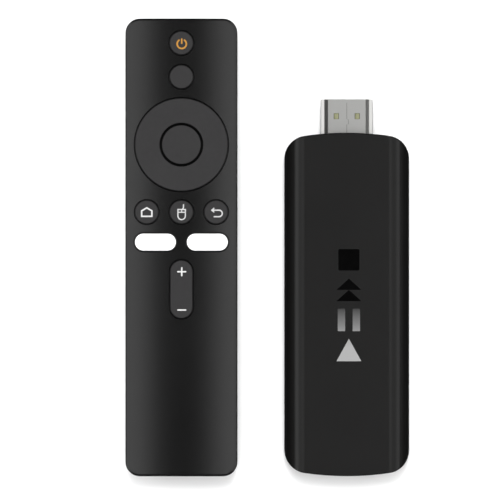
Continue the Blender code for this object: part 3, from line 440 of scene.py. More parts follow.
def chip_material(name, colour=(0.02, 0.02, 0.022)):
    m = Nodes(name, colour, 0.55)
    m.bump(m.noise(4000.0, 3.0, 0.6), 0.008 * MM)
    m.link(m.spread(m.noise(300.0), 0.48, 0.62), m.shader, "Roughness")
    return m.material


def silicone_material(name, grey=0.06, specular=0.3):
    m = Nodes(name, (grey, grey, grey), 0.7, specular=specular)
    m.bump(m.noise(2500.0, 2.0, 0.5), 0.01 * MM)
    thin, thick = (grey * 0.9,) * 3, (grey * 1.1,) * 3
    m.link(m.blend(m.noise(120.0), thin, thick), m.shader, "Base Color")
    return m.material


def cell_material(name, axis_low, axis_high, flip):
    """A cell's wrapper: dark, with a bronze band at its positive end and steel tips."""
    m = Nodes(name, (0.02, 0.022, 0.026), 0.3)
    split = m.tree.nodes.new("ShaderNodeSeparateXYZ")
    m.link(m.place, split, "Vector")
    share = m.spread(split.outputs["Y"], 1.0 if flip else 0.0, 0.0 if flip else 1.0, axis_low, axis_high)
    ramp = m.tree.nodes.new("ShaderNodeValToRGB")
    ramp.color_ramp.interpolation = "CONSTANT"
    steel, dark, bronze = (0.62, 0.62, 0.62, 1), (0.02, 0.022, 0.026, 1), (0.45, 0.24, 0.1, 1)
    first, second = ramp.color_ramp.elements
    first.color, second.position, second.color = steel, 0.012, dark
    for position, colour in ((0.74, bronze), (0.972, steel)):
        ramp.color_ramp.elements.new(position).color = colour
    m.link(share, ramp, "Fac")
    m.link(ramp.outputs["Color"], m.shader, "Base Color")
    m.link(m.spread(m.noise(400.0), 0.24, 0.36), m.shader, "Roughness")
    m.bump(m.noise(1200.0), 0.005 * MM)
    return m.material


def clear_material(name):
    m = Nodes(name, (0.9, 0.93, 0.96), 0.12)
    m.set(m.shader, "Transmission Weight", 0.85)
    m.set(m.shader, "IOR", 1.49)
    m.bump(m.noise(1500.0), 0.004 * MM)
    return m.material


def ink_material(name, colour, roughness=0.5):
    """Printed ink: matte and slightly uneven."""
    m = Nodes(name, colour, roughness, specular=0.3)
    thin = tuple(c * 0.86 for c in colour)
    m.link(m.blend(m.spread(m.noise(2600.0, 3.0), 0, 1), thin, colour), m.shader, "Base Color")
    m.bump(m.noise(6000.0), 0.003 * MM)
    return m.material


CASING = grained_plastic("stick_plastic", (0.004, 0.0039, 0.0038), 0.3, 0.235, 0.0025 * MM)
REMOTE_CASING = grained_plastic("remote_plastic", (0.0015, 0.0015, 0.0015), 0.19, 0.5)
KEYS = grained_plastic("key_rubber", (0.0215, 0.021, 0.0215), 0.75, 0.25, 0.01 * MM, 4200.0)
APP_KEYS = grained_plastic("white_key_plastic", (0.88, 0.88, 0.88), 0.45, 0.4, 0.004 * MM)
IR_LENS = grained_plastic("smoked_lens", (0.003, 0.0015, 0.0022), 0.08, 0.5, 0.001 * MM)
NYLON = grained_plastic("black_nylon", (0.018, 0.018, 0.018), 0.5, 0.4)
PLUG_METAL = metal("plug_nickel", (0.59, 0.59, 0.575), 0.3, (8, 1, 8), height=0.0003 * MM, uneven=0.012)
STEEL = metal("steel", (0.6, 0.6, 0.6), 0.3)
GOLD = metal("gold_plating", (0.9, 0.66, 0.28), 0.28)
LATCH_METAL = metal("latch_bronze", (0.4, 0.405, 0.25), 0.45)
FIN_METAL = metal("bare_aluminium", (0.72, 0.73, 0.75), 0.38, (1, 12, 1))
BOARD = board_material("solder_mask")
CHIP = chip_material("chip_epoxy")
FERRITE = chip_material("ferrite", (0.035, 0.034, 0.034))
SILICONE = silicone_material("silicone")
BLACK_RUBBER = silicone_material("black_key_rubber", 0.006, 0.1)
CLEAR = clear_material("clear_acrylic")
WHITE_INK = ink_material("white_print", (0.52, 0.52, 0.52))
THIN_INK = ink_material("thin_white_print", (0.44, 0.44, 0.44))
AMBER_INK = ink_material("amber_print", (0.36, 0.17, 0.026))


# ---- Stick casing ----
def stick_reach(x, inset=0.0):
    """Half the stick's length at x from its middle line."""
    cx, cy, turn = stick_corner_geometry(inset)
    corner, end = STICK_CORNER - inset, STICK_END_RADIUS - inset
    if abs(x) > cx + corner * math.cos(turn):
        return cy + math.sqrt(max(corner**2 - (abs(x) - cx) ** 2, 0))
    return STICK_HALF[1] - inset - end + math.sqrt(end**2 - x**2)


def stick_solid(inset=0.0, edge=STICK_EDGE, turns=26, flats=14):
    """The whole stick as one loft across its width, through rounded upright slices."""
    radius = STICK_HALF[0] - STICK_FLAT - inset
    angles = [math.pi / 2 * i / turns for i in range(turns + 1)]
    right = [(STICK_FLAT + radius * math.cos(a), (STICK_MID - inset) * math.sin(a)) for a in angles]
    middle = [(STICK_FLAT * (1 - 2 * i / flats), STICK_MID - inset) for i in range(1, flats)]
    stations = right + middle + [(-x, rise) for x, rise in reversed(right)]
    loops = []
    for x, rise in stations:
        reach = stick_reach(x, inset)
        e = min(edge, rise * 0.6)
        steps = [math.pi / 2 * i / 6 for i in range(7)]
        quarter = [(reach - e + e * math.cos(a), rise - e + e * math.sin(a)) for a in steps]
        half = [(reach, 0.0)] + quarter
        upper = half + [(-y, z) for y, z in reversed(half)]
        lower = [(y, -z) for y, z in reversed(upper[1:-1])]
        loops.append([(STICK_X + x, STICK_Y + y, STICK_MID + z) for y, z in upper + lower])
    return loft(loops)


def slab(low, high):
    """A box over the whole model between two heights."""
    reach = 0.2
    return box_solid((-reach, -reach, low), (reach, reach, high))


def upright_bar(centre, half, radius, low, high, steps=8):
    outline = bar(centre, half, radius, steps)
    return loft([raised(outline, low), raised(outline, high)])


def stick_openings():
    """(holes in the front half, holes in the back half)."""
    plug_low, plug_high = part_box("hdmi_shell")
    gap = 0.12 * MM
    plug = box_solid(
        (plug_low.x - gap, STICK_HIGH.y - 4 * MM, plug_low.z - gap),
        (plug_high.x + gap, STICK_HIGH.y + 4 * MM, plug_high.z + gap),
    )
    usb_low, usb_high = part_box("usb_shell")
    margin = 0.4 * MM
    port = box_solid(
        (usb_low.x - margin, STICK_LOW.y - PAST, usb_low.z - 0.08 * MM),
        (usb_high.x + margin, STICK_LOW.y + 3 * MM, usb_high.z + 0.3 * MM),
    )
    x, _, z = middle_of("light_pipe")
    light = rod_solid((x, STICK_LOW.y - PAST, z), (x, STICK_LOW.y + 3 * MM, z), 1.0 * MM)
    _, y, z = middle_of("reset_button")
    inner_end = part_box("reset_button")[1].x - 2 * MM
    reset = rod_solid((inner_end, y, z), (STICK_HIGH.x + PAST, y, z), 0.8 * MM)
    vents = []
    count, pitch = 7, 3.2 * MM
    for i in range(count):
        y = STICK_Y + (i - (count - 1) / 2) * pitch
        vents.append(upright_bar((STICK_X, y), (7.5 * MM, 0.6 * MM), 0.59 * MM, -PAST, WALL + PAST))
    return joined(plug, port, light, reset), joined(plug, *vents)


def stick_casing():
    cavity = stick_solid(WALL, 0.2 * MM, 12, 4)
    front_holes, back_holes = stick_openings()
    halves = (
        ("stick_front", slab(-PAST, STICK_MID + SEAM), front_holes, "stick_top_shell"),
        ("stick_back", slab(STICK_MID - SEAM, 2 * STICK_HIGH.z), back_holes, "stick_bottom_shell"),
    )
    for name, other_half, holes, shell in halves:
        half = new_object(name, stick_solid())
        for cutter in (other_half, cavity, holes):
            carve(half, cutter)
        shade(half, stick_field)
        finish_piece(half, "player", "casing_plastic", CASING, shell)


# ---- Display plug ----
def plug_outline(inset=0.0):
    """Right half of the plug's section, from its wide back to its narrow front."""
    low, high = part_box("hdmi_shell")
    round_off, shoulder = 0.45 * MM, 0.25 * MM
    half, bottom, top = (high.x - low.x) / 2 - inset, low.z + inset, high.z - inset
    narrow, step = 5.02 * MM - 0.58 * inset, 6.0 * MM - 0.58 * inset
    ledge = low.z + 3.25 * MM - inset
    points = arc((half - round_off, bottom + round_off), round_off, -90, 0, 6)
    points += arc((half - shoulder, ledge - 0.37 * MM), shoulder, 0, 82, 5)
    return points + [(step, ledge), (narrow + 0.03 * MM, top - 0.05 * MM), (narrow - 0.02 * MM, top)]


def plug_loop(y, inset=0.0):
    """The plug's section as a loop in space."""
    right = plug_outline(inset)
    section = right + [(-x, z) for x, z in reversed(right)]
    return [(STICK_X + x, y, z) for x, z in section]


def display_plug():
    low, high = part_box("hdmi_shell")
    lead, aside = 0.1 * MM, 2.8 * MM
    outer = [(low.y, 0.0), (high.y - lead, 0.0), (high.y - lead * 0.45, lead * 0.1)]
    outer.append((high.y - 0.02 * MM, lead * 0.4))
    inner = [(high.y, PLUG_SKIN * 0.8), (high.y - 0.1 * MM, PLUG_SKIN), (low.y, PLUG_SKIN)]
    loops = [plug_loop(y, inset) for y, inset in outer + inner]
    shell = new_object("plug_shell", loft(loops, closed=True))
    window, window_y = (0.7 * MM, 0.8 * MM), high.y - 4.5 * MM
    sides = (STICK_X - aside, STICK_X + aside)
    cuts = [upright_bar((x, window_y), window, 0.15 * MM, low.z - PAST, high.z + PAST, 3) for x in sides]
    carve(shell, joined(*cuts))
    carve(shell, plug_seam(low, high))
    shade(shell, sharp=20)
    finish_piece(shell, "player", "plated_steel", PLUG_METAL, "hdmi_shell")
    under = PLUG_SKIN + 0.06 * MM
    for i, x in enumerate(sides):
        latch_tab(f"latch_front_{i + 1}", x, window_y, high.z - under, 1)
        latch_tab(f"latch_back_{i + 1}", x, window_y, low.z + under, -1)


def plug_seam(low, high):
    """The butt joint down the middle of the narrow side, with its dovetail near the casing."""
    lock_y, lock_half, lean = high.y - 6.0 * MM, 0.6 * MM, 0.15 * MM
    jog, half, clear = 0.42 * MM, 0.04 * MM, 0.1 * MM
    path = [(0.0, high.y + PAST), (0.0, lock_y + lock_half + lean), (jog, lock_y + lock_half)]
    path += [(jog, lock_y - lock_half), (0.0, lock_y - lock_half - lean), (0.0, low.y - PAST)]
    left = [(STICK_X + x - half, y) for x, y in path]
    right = [(STICK_X + x + half, y) for x, y in reversed(path)]
    return loft([raised(left + right, z) for z in (high.z - PLUG_SKIN - clear, high.z + clear)])


def latch_tab(name, x, y, z, up):
    """A sprung dimple that shows in a window of the plug."""
    loops = []
    for size, lift in ((1.0, -0.05), (1.0, 0.0), (0.9, 0.05), (0.6, 0.12), (0.25, 0.15)):
        outline = bar((x, y), (0.62 * MM * size, 0.95 * MM * size), 0.3 * MM * size, 6)
        loops.append(raised(outline, z + up * lift * MM))
    tab = shade(new_object(name, loft(loops)))
    return finish_piece(tab, "player", "gold_contact", LATCH_METAL)


# ---- Remote casing ----
def remote_loop(z, offset=0.0, height=None):
    """The remote's outline at height z, or at height(x), drawn in by an offset."""
    base = float(z) if height is None else REMOTE_SHOULDER
    half = (float(back_half_width(base)) - offset, float(back_half_length(base)) - offset)
    outline = bar((REMOTE_X, REMOTE_Y), half, REMOTE_CORNER - offset, 10, 14)
    return raised(outline, z if height is None else lambda x, y: height(x - REMOTE_X))


def remote_solid():
    """The whole remote, from its flat back up to the crowned face."""
    rise = [REMOTE_SHOULDER * (1 - math.cos(math.pi / 2 * i / 14)) for i in range(15)]
    loops = [remote_loop(z) for z in rise] + [remote_loop(10 * MM)]
    for i in range(8):
        a = math.pi / 2 * i / 7
        inset, drop = REMOTE_EDGE * (1 - math.cos(a)), REMOTE_EDGE * (1 - math.sin(a))
        loops.append(remote_loop(0, inset, lambda x, d=drop: crown(x) - d))
    points, faces = loft(loops)
    faces.pop()
    n = len(loops[0])
    return points, faces + crown_strips(n, (len(loops) - 1) * n)


def crown_strips(n, start):
    """Lengthwise strips that close the last loop, whose n points begin at start."""
    far, near = range(start, start + n // 2), range(start + n - 1, start + n // 2 - 1, -1)
    return [(far[i], far[i + 1], near[i + 1], near[i]) for i in range(n // 2 - 1)]


def key_hole(centre, half, radius, flare=0.12 * MM):
    """The cutter for a key's hole: straight below, with a small chamfer that follows the crown."""
    loops = []
    steps = 14 if half[0] < 8 * MM else 24
    for grow, offset in ((0.0, None), (0.0, -flare), (flare, 0.0), (flare * 3, flare * 2)):
        reach = KEY_GAP + grow
        outline = bar(centre, (half[0] + reach, half[1] + reach), radius + reach, steps, 1)
        if offset is None:
            loops.append(raised(outline, CEILING - 2 * MM))
        else:
            loops.append(raised(outline, lambda x, y, o=offset: crown(x - REMOTE_X) + o))
    # A level top above the crown, so that nothing is left standing inside a wide hole.
    loops.append(raised(outline, REMOTE_HIGH.z + PAST))
    return loft(loops)


def key_layout():
    """(centre, half sizes, corner radius, lip) by node, for each key that has a hole in the face."""
    lips = {"volume_rocker": 0.5 * MM, "dpad_ring": RING_LIP}
    layout = {}
    for name in PRESSED_KEYS[:-1] + list(lips):
        lip = lips.get(name, KEY_LIP)
        centre, (across, along) = plan(*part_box(name))
        half = (across - lip, along - lip)
        layout[name] = (centre, half, min(half) - 0.002 * MM, lip)
    return layout


def remote_cavity():
    half = (REMOTE_HALF[0] - WALL, REMOTE_HALF[1] - WALL)
    loops = []
    for i in range(9):
        z = WALL + (REMOTE_SHOULDER - WALL) * (1 - math.cos(math.pi / 2 * i / 8))
        width = float(back_half_width(np.float64(z), WALL))
        loops.append(raised(bar((REMOTE_X, REMOTE_Y), (width, half[1]), REMOTE_CORNER - WALL, 5), z))
    loops.append(raised(bar((REMOTE_X, REMOTE_Y), half, REMOTE_CORNER - WALL, 5), CEILING))
    return loft(loops)


def ir_opening():
    low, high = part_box("ir_window")
    gap = 0.1 * MM
    near, far = (low.x - gap, low.y - 2 * MM, low.z - gap), (high.x + gap, high.y + PAST, high.z + gap)
    return box_solid(near, far)


def remote_face():
    face = new_object("remote_face", remote_solid())
    carve(face, slab(-PAST, REMOTE_PART + SEAM))
    carve(face, remote_cavity())
    holes = [key_hole(centre, half, radius) for centre, half, radius, lip in key_layout().values()]
    centre, half = key_layout()["dpad_ring"][:2]
    reach, corner = half[0] + 1.2 * MM, half[0] + 1.19 * MM
    carve(face, upright_bar(centre, (reach, reach), corner, CEILING - PAST, RING_ROOM_TOP, 24))
    carve(face, joined(*holes, ir_opening()))
    shade(face, remote_field)
    finish_piece(face, "remote", "remote_casing_plastic", REMOTE_CASING, "remote_top_shell")


def cover_zone(gap=0.0):
    """The battery cover's room in the back: its plate, and the lip at its end."""
    low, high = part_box("battery_cover")
    plate_end = high.y - 1.4 * MM
    far = (high.x + gap, plate_end + gap, WALL + gap / 2)
    plate = box_solid((low.x - gap, REMOTE_LOW.y - PAST, -PAST), far)
    lip_half = 3.0 * MM + gap
    lip = box_solid(
        (REMOTE_X - lip_half, REMOTE_LOW.y - PAST, 0.5 * MM),
        (REMOTE_X + lip_half, REMOTE_LOW.y + WALL + 0.1 * MM, 2.3 * MM + gap),
    )
    return plate, lip


def remote_back():
    back = new_object("remote_back", remote_solid())
    carve(back, slab(REMOTE_PART - SEAM, 2 * REMOTE_HIGH.z))
    carve(back, remote_cavity())
    for solid in cover_zone(0.2 * MM):
        carve(back, solid)
    wall_y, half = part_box("battery_1")[1].y + 0.7 * MM, 13.3 * MM
    wall_end = (REMOTE_X + half, wall_y + 1.2 * MM, 12 * MM)
    carve(back, box_solid((REMOTE_X - half, wall_y, 3.0 * MM), wall_end), "UNION")
    shade(carve(back, ir_opening()), remote_field)
    finish_piece(back, "remote", "remote_casing_plastic", REMOTE_CASING, "remote_bottom_shell")


def battery_cover():
    low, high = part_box("battery_cover")
    cover = new_object("cover", remote_solid())
    plate, lip = cover_zone()
    room = new_object("cover_room", plate)
    carve(room, lip, "UNION")
    points = [tuple(v.co) for v in room.data.vertices]
    faces = [tuple(f.vertices) for f in room.data.polygons]
    bpy.data.objects.remove(room, do_unlink=True)
    carve(cover, (points, faces), "INTERSECT")
    wide = 20 * MM
    beyond = box_solid((REMOTE_X - wide, low.y - 5 * MM, -PAST), (REMOTE_X + wide, low.y, 5 * MM))
    carve(cover, beyond)
    half = 2.5 * MM
    # The riser behind the plate's end, and the tongue on top of it.
    for back, foot, front in ((2.6 * MM, 0.5 * MM, 1.6 * MM), (2.0 * MM, 1.5 * MM, 0.0)):
        near, far = (REMOTE_X - half, high.y - back, foot), (REMOTE_X + half, high.y - front, high.z)
        carve(cover, box_solid(near, far), "UNION")
    carve(cover, joined(*cover_grips(high.y)))
    shade(cover, remote_field)
    finish_piece(cover, "battery_cover", "remote_casing_plastic", REMOTE_CASING, "battery_cover")


def cover_grips(top):
    """Shallow thumb grooves, shorter the way that the cover slides."""
    grooves = []
    for i in range(5):
        y = top - 8.0 * MM - i * 1.5 * MM
        half = (4.5 - 0.7 * i) * MM
        grooves.append(upright_bar((REMOTE_X, y), (half, 0.3 * MM), 0.29 * MM, -PAST, 0.35 * MM, 5))
    return grooves


# ---- Keys ----
def key_top(x, y, drop=0.0):
    return crown(x - REMOTE_X) + KEY_PROUD - drop


def outline_for(centre, half, radius, inset, steps):
    reach = max(radius - inset, 0.02 * MM)
    return bar(centre, (half[0] - inset, half[1] - inset), reach, steps, 1)


def key_cap(name, node, centre, half, radius, lip, steps=16, foot=None, slot="key_plastic", material=KEYS):
    """A key: a lip below, straight sides, a round rim and a crowned face.

    A cap with a foot ends that far below its own face.
    """
    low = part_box(node)[0]
    lip_top = low.z + (0.3 if node == "volume_rocker" else 0.5) * MM
    first = low.z if foot is None else lambda x, y: key_top(x, y, foot)
    loops = [raised(outline_for(centre, half, radius, -lip, steps), first)]
    if lip:
        loops.append(raised(outline_for(centre, half, radius, -lip, steps), lip_top))
        loops.append(raised(outline_for(centre, half, radius, 0, steps), lip_top))
    for i in range(6):
        a = math.pi / 2 * i / 5
        inset, drop = KEY_EDGE * (1 - math.cos(a)), KEY_EDGE * (1 - math.sin(a))
        outline = outline_for(centre, half, radius, inset, steps)
        loops.append(raised(outline, lambda x, y, d=drop: key_top(x, y, d)))
    for share in (0.75, 0.5, 0.25, 0.06):
        inset = KEY_EDGE + (radius - KEY_EDGE) * (1 - share)
        loops.append(raised(outline_for(centre, half, radius, inset, steps), key_top))
    cap = new_object(name, loft(loops))
    shade(cap, key_field(centre, half, radius))
    return finish_piece(cap, node, slot, material, node)


def keys():
    for node, (centre, half, radius, lip) in key_layout().items():
        if node == "dpad_ring":
            direction_ring(centre, half[0])
        elif "app" in node:
            app_key(node, centre, half, radius, lip)
        else:
            name = "volume_cap" if node == "volume_rocker" else node + "_cap"
            key_cap(name, node, centre, half, radius, lip)
    centre, (radius, _) = plan(*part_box("ok_key"))
    key_cap("ok_cap", "ok_key", centre, (radius, radius), radius - 0.002 * MM, 0, 20)


def app_key(node, centre, half, radius, lip):
    """A bright cap set in a dark body that shows only as a thin line round it."""
    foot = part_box(node)[0].z
    seat, lip_top = KEY_PROUD + 0.1 * MM, foot + 0.5 * MM
    steps = ((-lip, foot), (-lip, lip_top), (0, lip_top))
    body = [raised(outline_for(centre, half, radius, inset, 16), z) for inset, z in steps]
    for inset in (0, 0.9 * MM):
        outline = outline_for(centre, half, radius, inset, 16)
        body.append(raised(outline, lambda x, y: key_top(x, y, seat)))
    base = shade(new_object(node + "_base", loft(body)))
    finish_piece(base, node, "key_plastic", KEYS)
    cap = {"foot": seat, "slot": "app_key_plastic", "material": APP_KEYS}
    key_cap(node + "_cap", node, centre, half, radius, 0, **cap)


def direction_ring(centre, radius):
    """The ring round the middle key, as a closed loft through its whole section."""
    foot, hole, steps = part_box("dpad_ring")[0].z, RING_HOLE, 128
    lip_top, rim = foot + 0.25 * MM, radius + RING_LIP
    loops = [raised(disc(centre, r, steps), z) for r, z in ((rim, foot), (rim, lip_top), (radius, lip_top))]
    for i in range(6):
        a = math.pi / 2 * i / 5
        r, drop = radius - KEY_EDGE * (1 - math.cos(a)), KEY_EDGE * (1 - math.sin(a))
        loops.append(raised(disc(centre, r, steps), lambda x, y, d=drop: key_top(x, y, d)))
    for i in range(1, 8):
        r = radius - KEY_EDGE + (hole + 2 * KEY_EDGE - radius) * i / 8
        loops.append(raised(disc(centre, r, steps), key_top))
    for i in range(6):
        a = math.pi / 2 * (1 - i / 5)
        r, drop = hole + KEY_EDGE * (1 - math.cos(a)), KEY_EDGE * (1 - math.sin(a))
        loops.append(raised(disc(centre, r, steps), lambda x, y, d=drop: key_top(x, y, d)))
    inner, outer, roof = 6.9 * MM, 11.3 * MM, 14.6 * MM  # the groove that the rubber ring sits in
    below = [(hole, foot), (inner, foot), (inner, roof), (outer, roof), (outer, foot)]
    loops += [raised(disc(centre, r, steps), z) for r, z in below]
    ring = new_object("direction_ring", loft(loops, closed=True))
    shade(ring, key_field(centre, (radius, radius), radius - 1e-7, hole))
    finish_piece(ring, "dpad_ring", "key_plastic", KEYS, "dpad_ring")


def rubber_web():
    """A thin web over the key board, and a dome under each key."""
    low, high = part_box("rubber_sheet")
    top, dome_top = low.z + 0.06 * MM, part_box("home_key")[0].z - 0.05 * MM
    web = new_object("key_web", upright_bar(*plan(low, high), 2 * MM, low.z, top))
    under, over = low.z - PAST, top + PAST
    middle, size, radius, lip = key_layout()["volume_rocker"]
    room = 0.9 * MM
    holes = [upright_bar(middle, (size[0] + room, size[1] + room), radius + room, under, over)]
    for i in (1, 2, 3, 4):
        (x, y), _ = plan(*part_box(f"fixing_screw_{i}"))
        holes.append(rod_solid((x, y, under), (x, y, over), 1.9 * MM))
    carve(web, joined(*holes))
    shade(web)
    finish_piece(web, "remote", "silicone", BLACK_RUBBER, "rubber_sheet")
    for node in PRESSED_KEYS:
        (x, y), half = plan(*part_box(node))
        lip = 0 if node == "ok_key" else KEY_LIP
        reach = min(half) - lip - 1.2 * MM
        loops = [raised(disc((x, y), reach * share, 32), z) for share, z in ((1, top), (0.8, dome_top))]
        dome = shade(new_object(node + "_dome", loft(loops)))
        finish_piece(dome, "remote", "silicone", BLACK_RUBBER)
        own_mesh(dome)


# ---- Printed marks ----
def ribbon(path, width, closed=False):
    """A flat stroke along a path, as (points, faces) in the plane, with round ends."""
    pts = [Vector(p) for p in path]
    n = len(pts)
    left, right = [], []
    for i, p in enumerate(pts):
        before = pts[i - 1] if i or closed else None
        after = pts[(i + 1) % n] if i < n - 1 or closed else None
        d1 = (p - before).normalized() if before else (after - p).normalized()
        d2 = (after - p).normalized() if after else d1
        mid = (d1 + d2).normalized()
        side = Vector((-mid.y, mid.x)) * (width / 2 / max(mid.dot(d1), 0.5))
        left.append(p + side)
        right.append(p - side)
    if closed:
        faces = [(i, (i + 1) % n, n + (i + 1) % n, n + i) for i in range(n)]
        return [tuple(p) for p in left + right], faces
    outline = list(left)
    for end, inward in ((pts[-1], pts[-1] - pts[-2]), (pts[0], pts[0] - pts[1])):
        heading = math.degrees(math.atan2(inward.y, inward.x))
        cap = arc(end, width / 2, heading + 90, heading - 90, 8)[1:-1]
        outline += [Vector(p) for p in cap]
        if end is pts[-1]:
            outline += right[::-1]
    return [tuple(p) for p in outline], [tuple(range(len(outline)))]


def filled(outline):
    return list(outline), [tuple(range(len(outline)))]


def printed(name, shapes, body, slot, material, surface):
    """Flat shapes as a thin layer of ink that lies on surface(x, y)."""
    thick, sunk = 0.03 * MM, 0.08 * MM
    bm = bmesh.new()
    for points, faces in shapes:
        verts = [bm.verts.new((x, y, float(surface(x, y)) - sunk)) for x, y in points]
        made = [bm.faces.new([verts[i] for i in face]) for face in faces]
        grown = bmesh.ops.extrude_face_region(bm, geom=made)["geom"]
        lifted = [g for g in grown if isinstance(g, bmesh.types.BMVert)]
        bmesh.ops.translate(bm, verts=lifted, vec=(0, 0, thick + sunk))
    bmesh.ops.recalc_face_normals(bm, faces=bm.faces)
    mesh = bpy.data.meshes.new(name)
    bm.to_mesh(mesh)
    bm.free()
    finish_piece(in_scene(name, mesh), body, slot, material)


def moved(shape, x, y, turn=0.0):
    """A flat shape turned by degrees and moved."""
    c, s = math.cos(math.radians(turn)), math.sin(math.radians(turn))
    return [(x + c * px - s * py, y + s * px + c * py) for px, py in shape[0]], shape[1]


def key_marks():
    layout = key_layout()
    line = 0.39 * MM

    def put(name, node, shapes, material=WHITE_INK, shift=(0, 0)):
        centre = layout[node][0]
        placed = [moved(s, centre[0] + shift[0], centre[1] + shift[1]) for s in shapes]
        printed(name, placed, node, "key_plastic", material, key_top)

    ring = ribbon(arc((0, 0), 1.22 * MM, 126, 414, 30), 0.43 * MM)
    stem = ribbon([(0, 1.3 * MM), (0, 0.15 * MM)], 0.4 * MM)
    put("power_mark", "power_key", [ring, stem], AMBER_INK, (0.1 * MM, -0.25 * MM))
    side, sill, eaves = 1.36 * MM, 1.13 * MM, 0.32 * MM
    house = [(-side, -sill), (side, -sill), (side, eaves), (0.0, sill), (-side, eaves)]
    put("home_mark", "home_key", [ribbon(house, line, True)], shift=(0.02 * MM, 0))
    put("pointer_mark", "pointer_key", pointer_shapes(line * 0.78), THIN_INK, (0.07 * MM, 0))
    put("back_mark", "back_key", back_shapes(line * 0.9), THIN_INK, (0.2 * MM, 0))
    arm = 1.02 * MM
    minus, upright = ribbon([(-arm, 0), (arm, 0)], line), ribbon([(0, -arm), (0, arm)], line)
    put("volume_up_mark", "volume_rocker", [minus, upright], shift=(0.1 * MM, 4.68 * MM))
    put("volume_down_mark", "volume_rocker", [minus], shift=(0.1 * MM, -5.5 * MM))


def pointer_shapes(line):
    """A computer mouse: a rounded body, its buttons' line and a short lead."""
    half, top, waist, low = 0.99 * MM, 0.68 * MM, -0.06 * MM, -0.97 * MM
    turn = [math.pi * (1 + i / 12) for i in range(13)]
    body = [(half, top), (-half, top)]
    body += [(half * math.cos(a), low + 1.05 * half * math.sin(a)) for a in turn]
    split = ribbon([(-half, waist), (half, waist)], line * 0.9)
    middle = ribbon([(0, waist), (0, top)], line * 0.9)
    lead = ribbon([(0.22 * MM, top), (0.48 * MM, 1.15 * MM), (0.5 * MM, 1.95 * MM)], line)
    return [ribbon(body, line, True), split, middle, lead]


def back_shapes(line):
    """An arrow that turns back on itself."""
    bend = arc((0.58 * MM, -0.36 * MM), 0.86 * MM, 90, -90, 14)
    shaft = ribbon([(-0.75 * MM, 0.5 * MM)] + bend + [(-0.7 * MM, -1.22 * MM)], line)
    head = [(-1.6, 0.5), (-0.74, 1.22), (-0.66, 1.0), (-0.8, 0.5), (-0.66, 0.0), (-0.74, -0.22)]
    return [shaft, filled([(x * MM, y * MM) for x, y in head])]


def painted_reflection_ink(name, low, high):
    """Print whose colour holds a painted reflection: silver low on the stick, fading to gloss black further
    up.
    """
    m = Nodes(name, (0.5, 0.5, 0.5), 0.25, specular=0.08)
    split = m.tree.nodes.new("ShaderNodeSeparateXYZ")
    m.link(m.place, split, "Vector")
    share = m.spread(split.outputs["Y"], 0.0, 1.0, low, high)
    # The ramp is the painted reflection: silver at the low end, darkening to black by about halfway up.
    ramp = m.tree.nodes.new("ShaderNodeValToRGB")
    first, last = ramp.color_ramp.elements
    first.position, first.color = 0.12, (0.25, 0.25, 0.25, 1)
    last.position, last.color = 0.51, (0.0, 0.0, 0.0, 1)
    for place, grey in ((0.22, 0.2), (0.33, 0.115), (0.44, 0.05), (0.49, 0.014)):
        ramp.color_ramp.elements.new(place).color = (grey, grey, grey, 1)
    m.link(share, ramp, "Fac")
    m.link(ramp.outputs["Color"], m.shader, "Base Color")
    m.link(m.spread(m.noise(300.0), 0.2, 0.26), m.shader, "Roughness")
    m.bump(m.noise(1800.0), 0.0006 * MM)
    return m.material


def stick_marks():
    """Plain transport signs in a column: play, pause, forward and stop."""
    x, half, tall = STICK_X + 0.5 * MM, 3.3 * MM, 3.0 * MM
    low, pitch = -27.3 * MM, 8.0 * MM
    pause_y, forward_y, stop_y = (low + pitch * i for i in (1, 2, 3))
    # The signs' ink has a painted reflection: silver below, fading to black further up the stick.
    ink = painted_reflection_ink("painted_reflection_print", -30.3 * MM, -0.3 * MM)

    def arrow(foot, top):
        return filled([(x - half, foot), (x + half, foot), (x, top)])

    bars = [bar((x + side * half * 0.6, pause_y), (half * 0.3, tall), 0.15 * MM, 3) for side in (-1, 1)]
    signs = {
        "play_sign": [arrow(low - tall, low + tall)],
        "pause_sign": [filled(outline) for outline in bars],
        "forward_sign": [arrow(foot, foot + tall) for foot in (forward_y - tall, forward_y)],
        "stop_sign": [filled(bar((x, stop_y), (half * 0.85, tall * 0.95), 0.3 * MM, 4))],
    }
    for name, shapes in signs.items():
        printed(name, shapes, "player", "casing_plastic", ink, lambda px, py: STICK_HIGH.z)


# ---- CAD nodes that stay ----
def carried_over():
    finishes = {
        NYLON: ["hdmi_insulator", "usb_tongue", "antenna_lead"],
        GOLD: ["hdmi_contacts_upper", "hdmi_contacts_lower", "wifi_antenna"],
        BOARD: ["main_board", "key_board"],
        CHIP: ["processor", "memory_chip_1", "memory_chip_2", "flash_chip", "controller_chip"],
        FERRITE: ["power_inductor"],
        SILICONE: ["thermal_pad"],
        BLACK_RUBBER: ["dpad_rubber"],
        FIN_METAL: ["heat_spreader"],
        STEEL: ["usb_shell", "wifi_module", "crystal", "timing_crystal", "reset_switch", "battery_link"]
        + ["positive_contact", "negative_contact", "battery_spring_1", "battery_spring_2"]
        + [f"board_screw_{i}" for i in (1, 2)]
        + [f"fixing_screw_{i}" for i in (1, 2, 3, 4)],
        CLEAR: ["status_light", "light_pipe"],
        IR_LENS: ["ir_window", "ir_led"],
        KEYS: ["reset_button"],
    }
    for material, names in finishes.items():
        for name in names:
            dress(name, material)
    for name, flip in (("battery_1", False), ("battery_2", True)):
        low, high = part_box(name)
        dress(name, cell_material(name + "_wrapper", low.y, high.y, flip))


def dress(name, material):
    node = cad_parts[name]
    node.data.materials.clear()
    node.data.materials.append(material)
    node.data.shade_smooth()
    node.data.set_sharp_from_angle(angle=math.radians(35))


# ---- Floor, lights and camera ----
WORLD, OVERHEAD, FAR_LIGHT, TOP_FILL = 0.06, 1.65, 33, 6.5
LEFT_SHOULDER, LEFT_STRIP, RIGHT_SHOULDER, RIGHT_STRIP = 0.95, 2.2, 0.85, 1.65


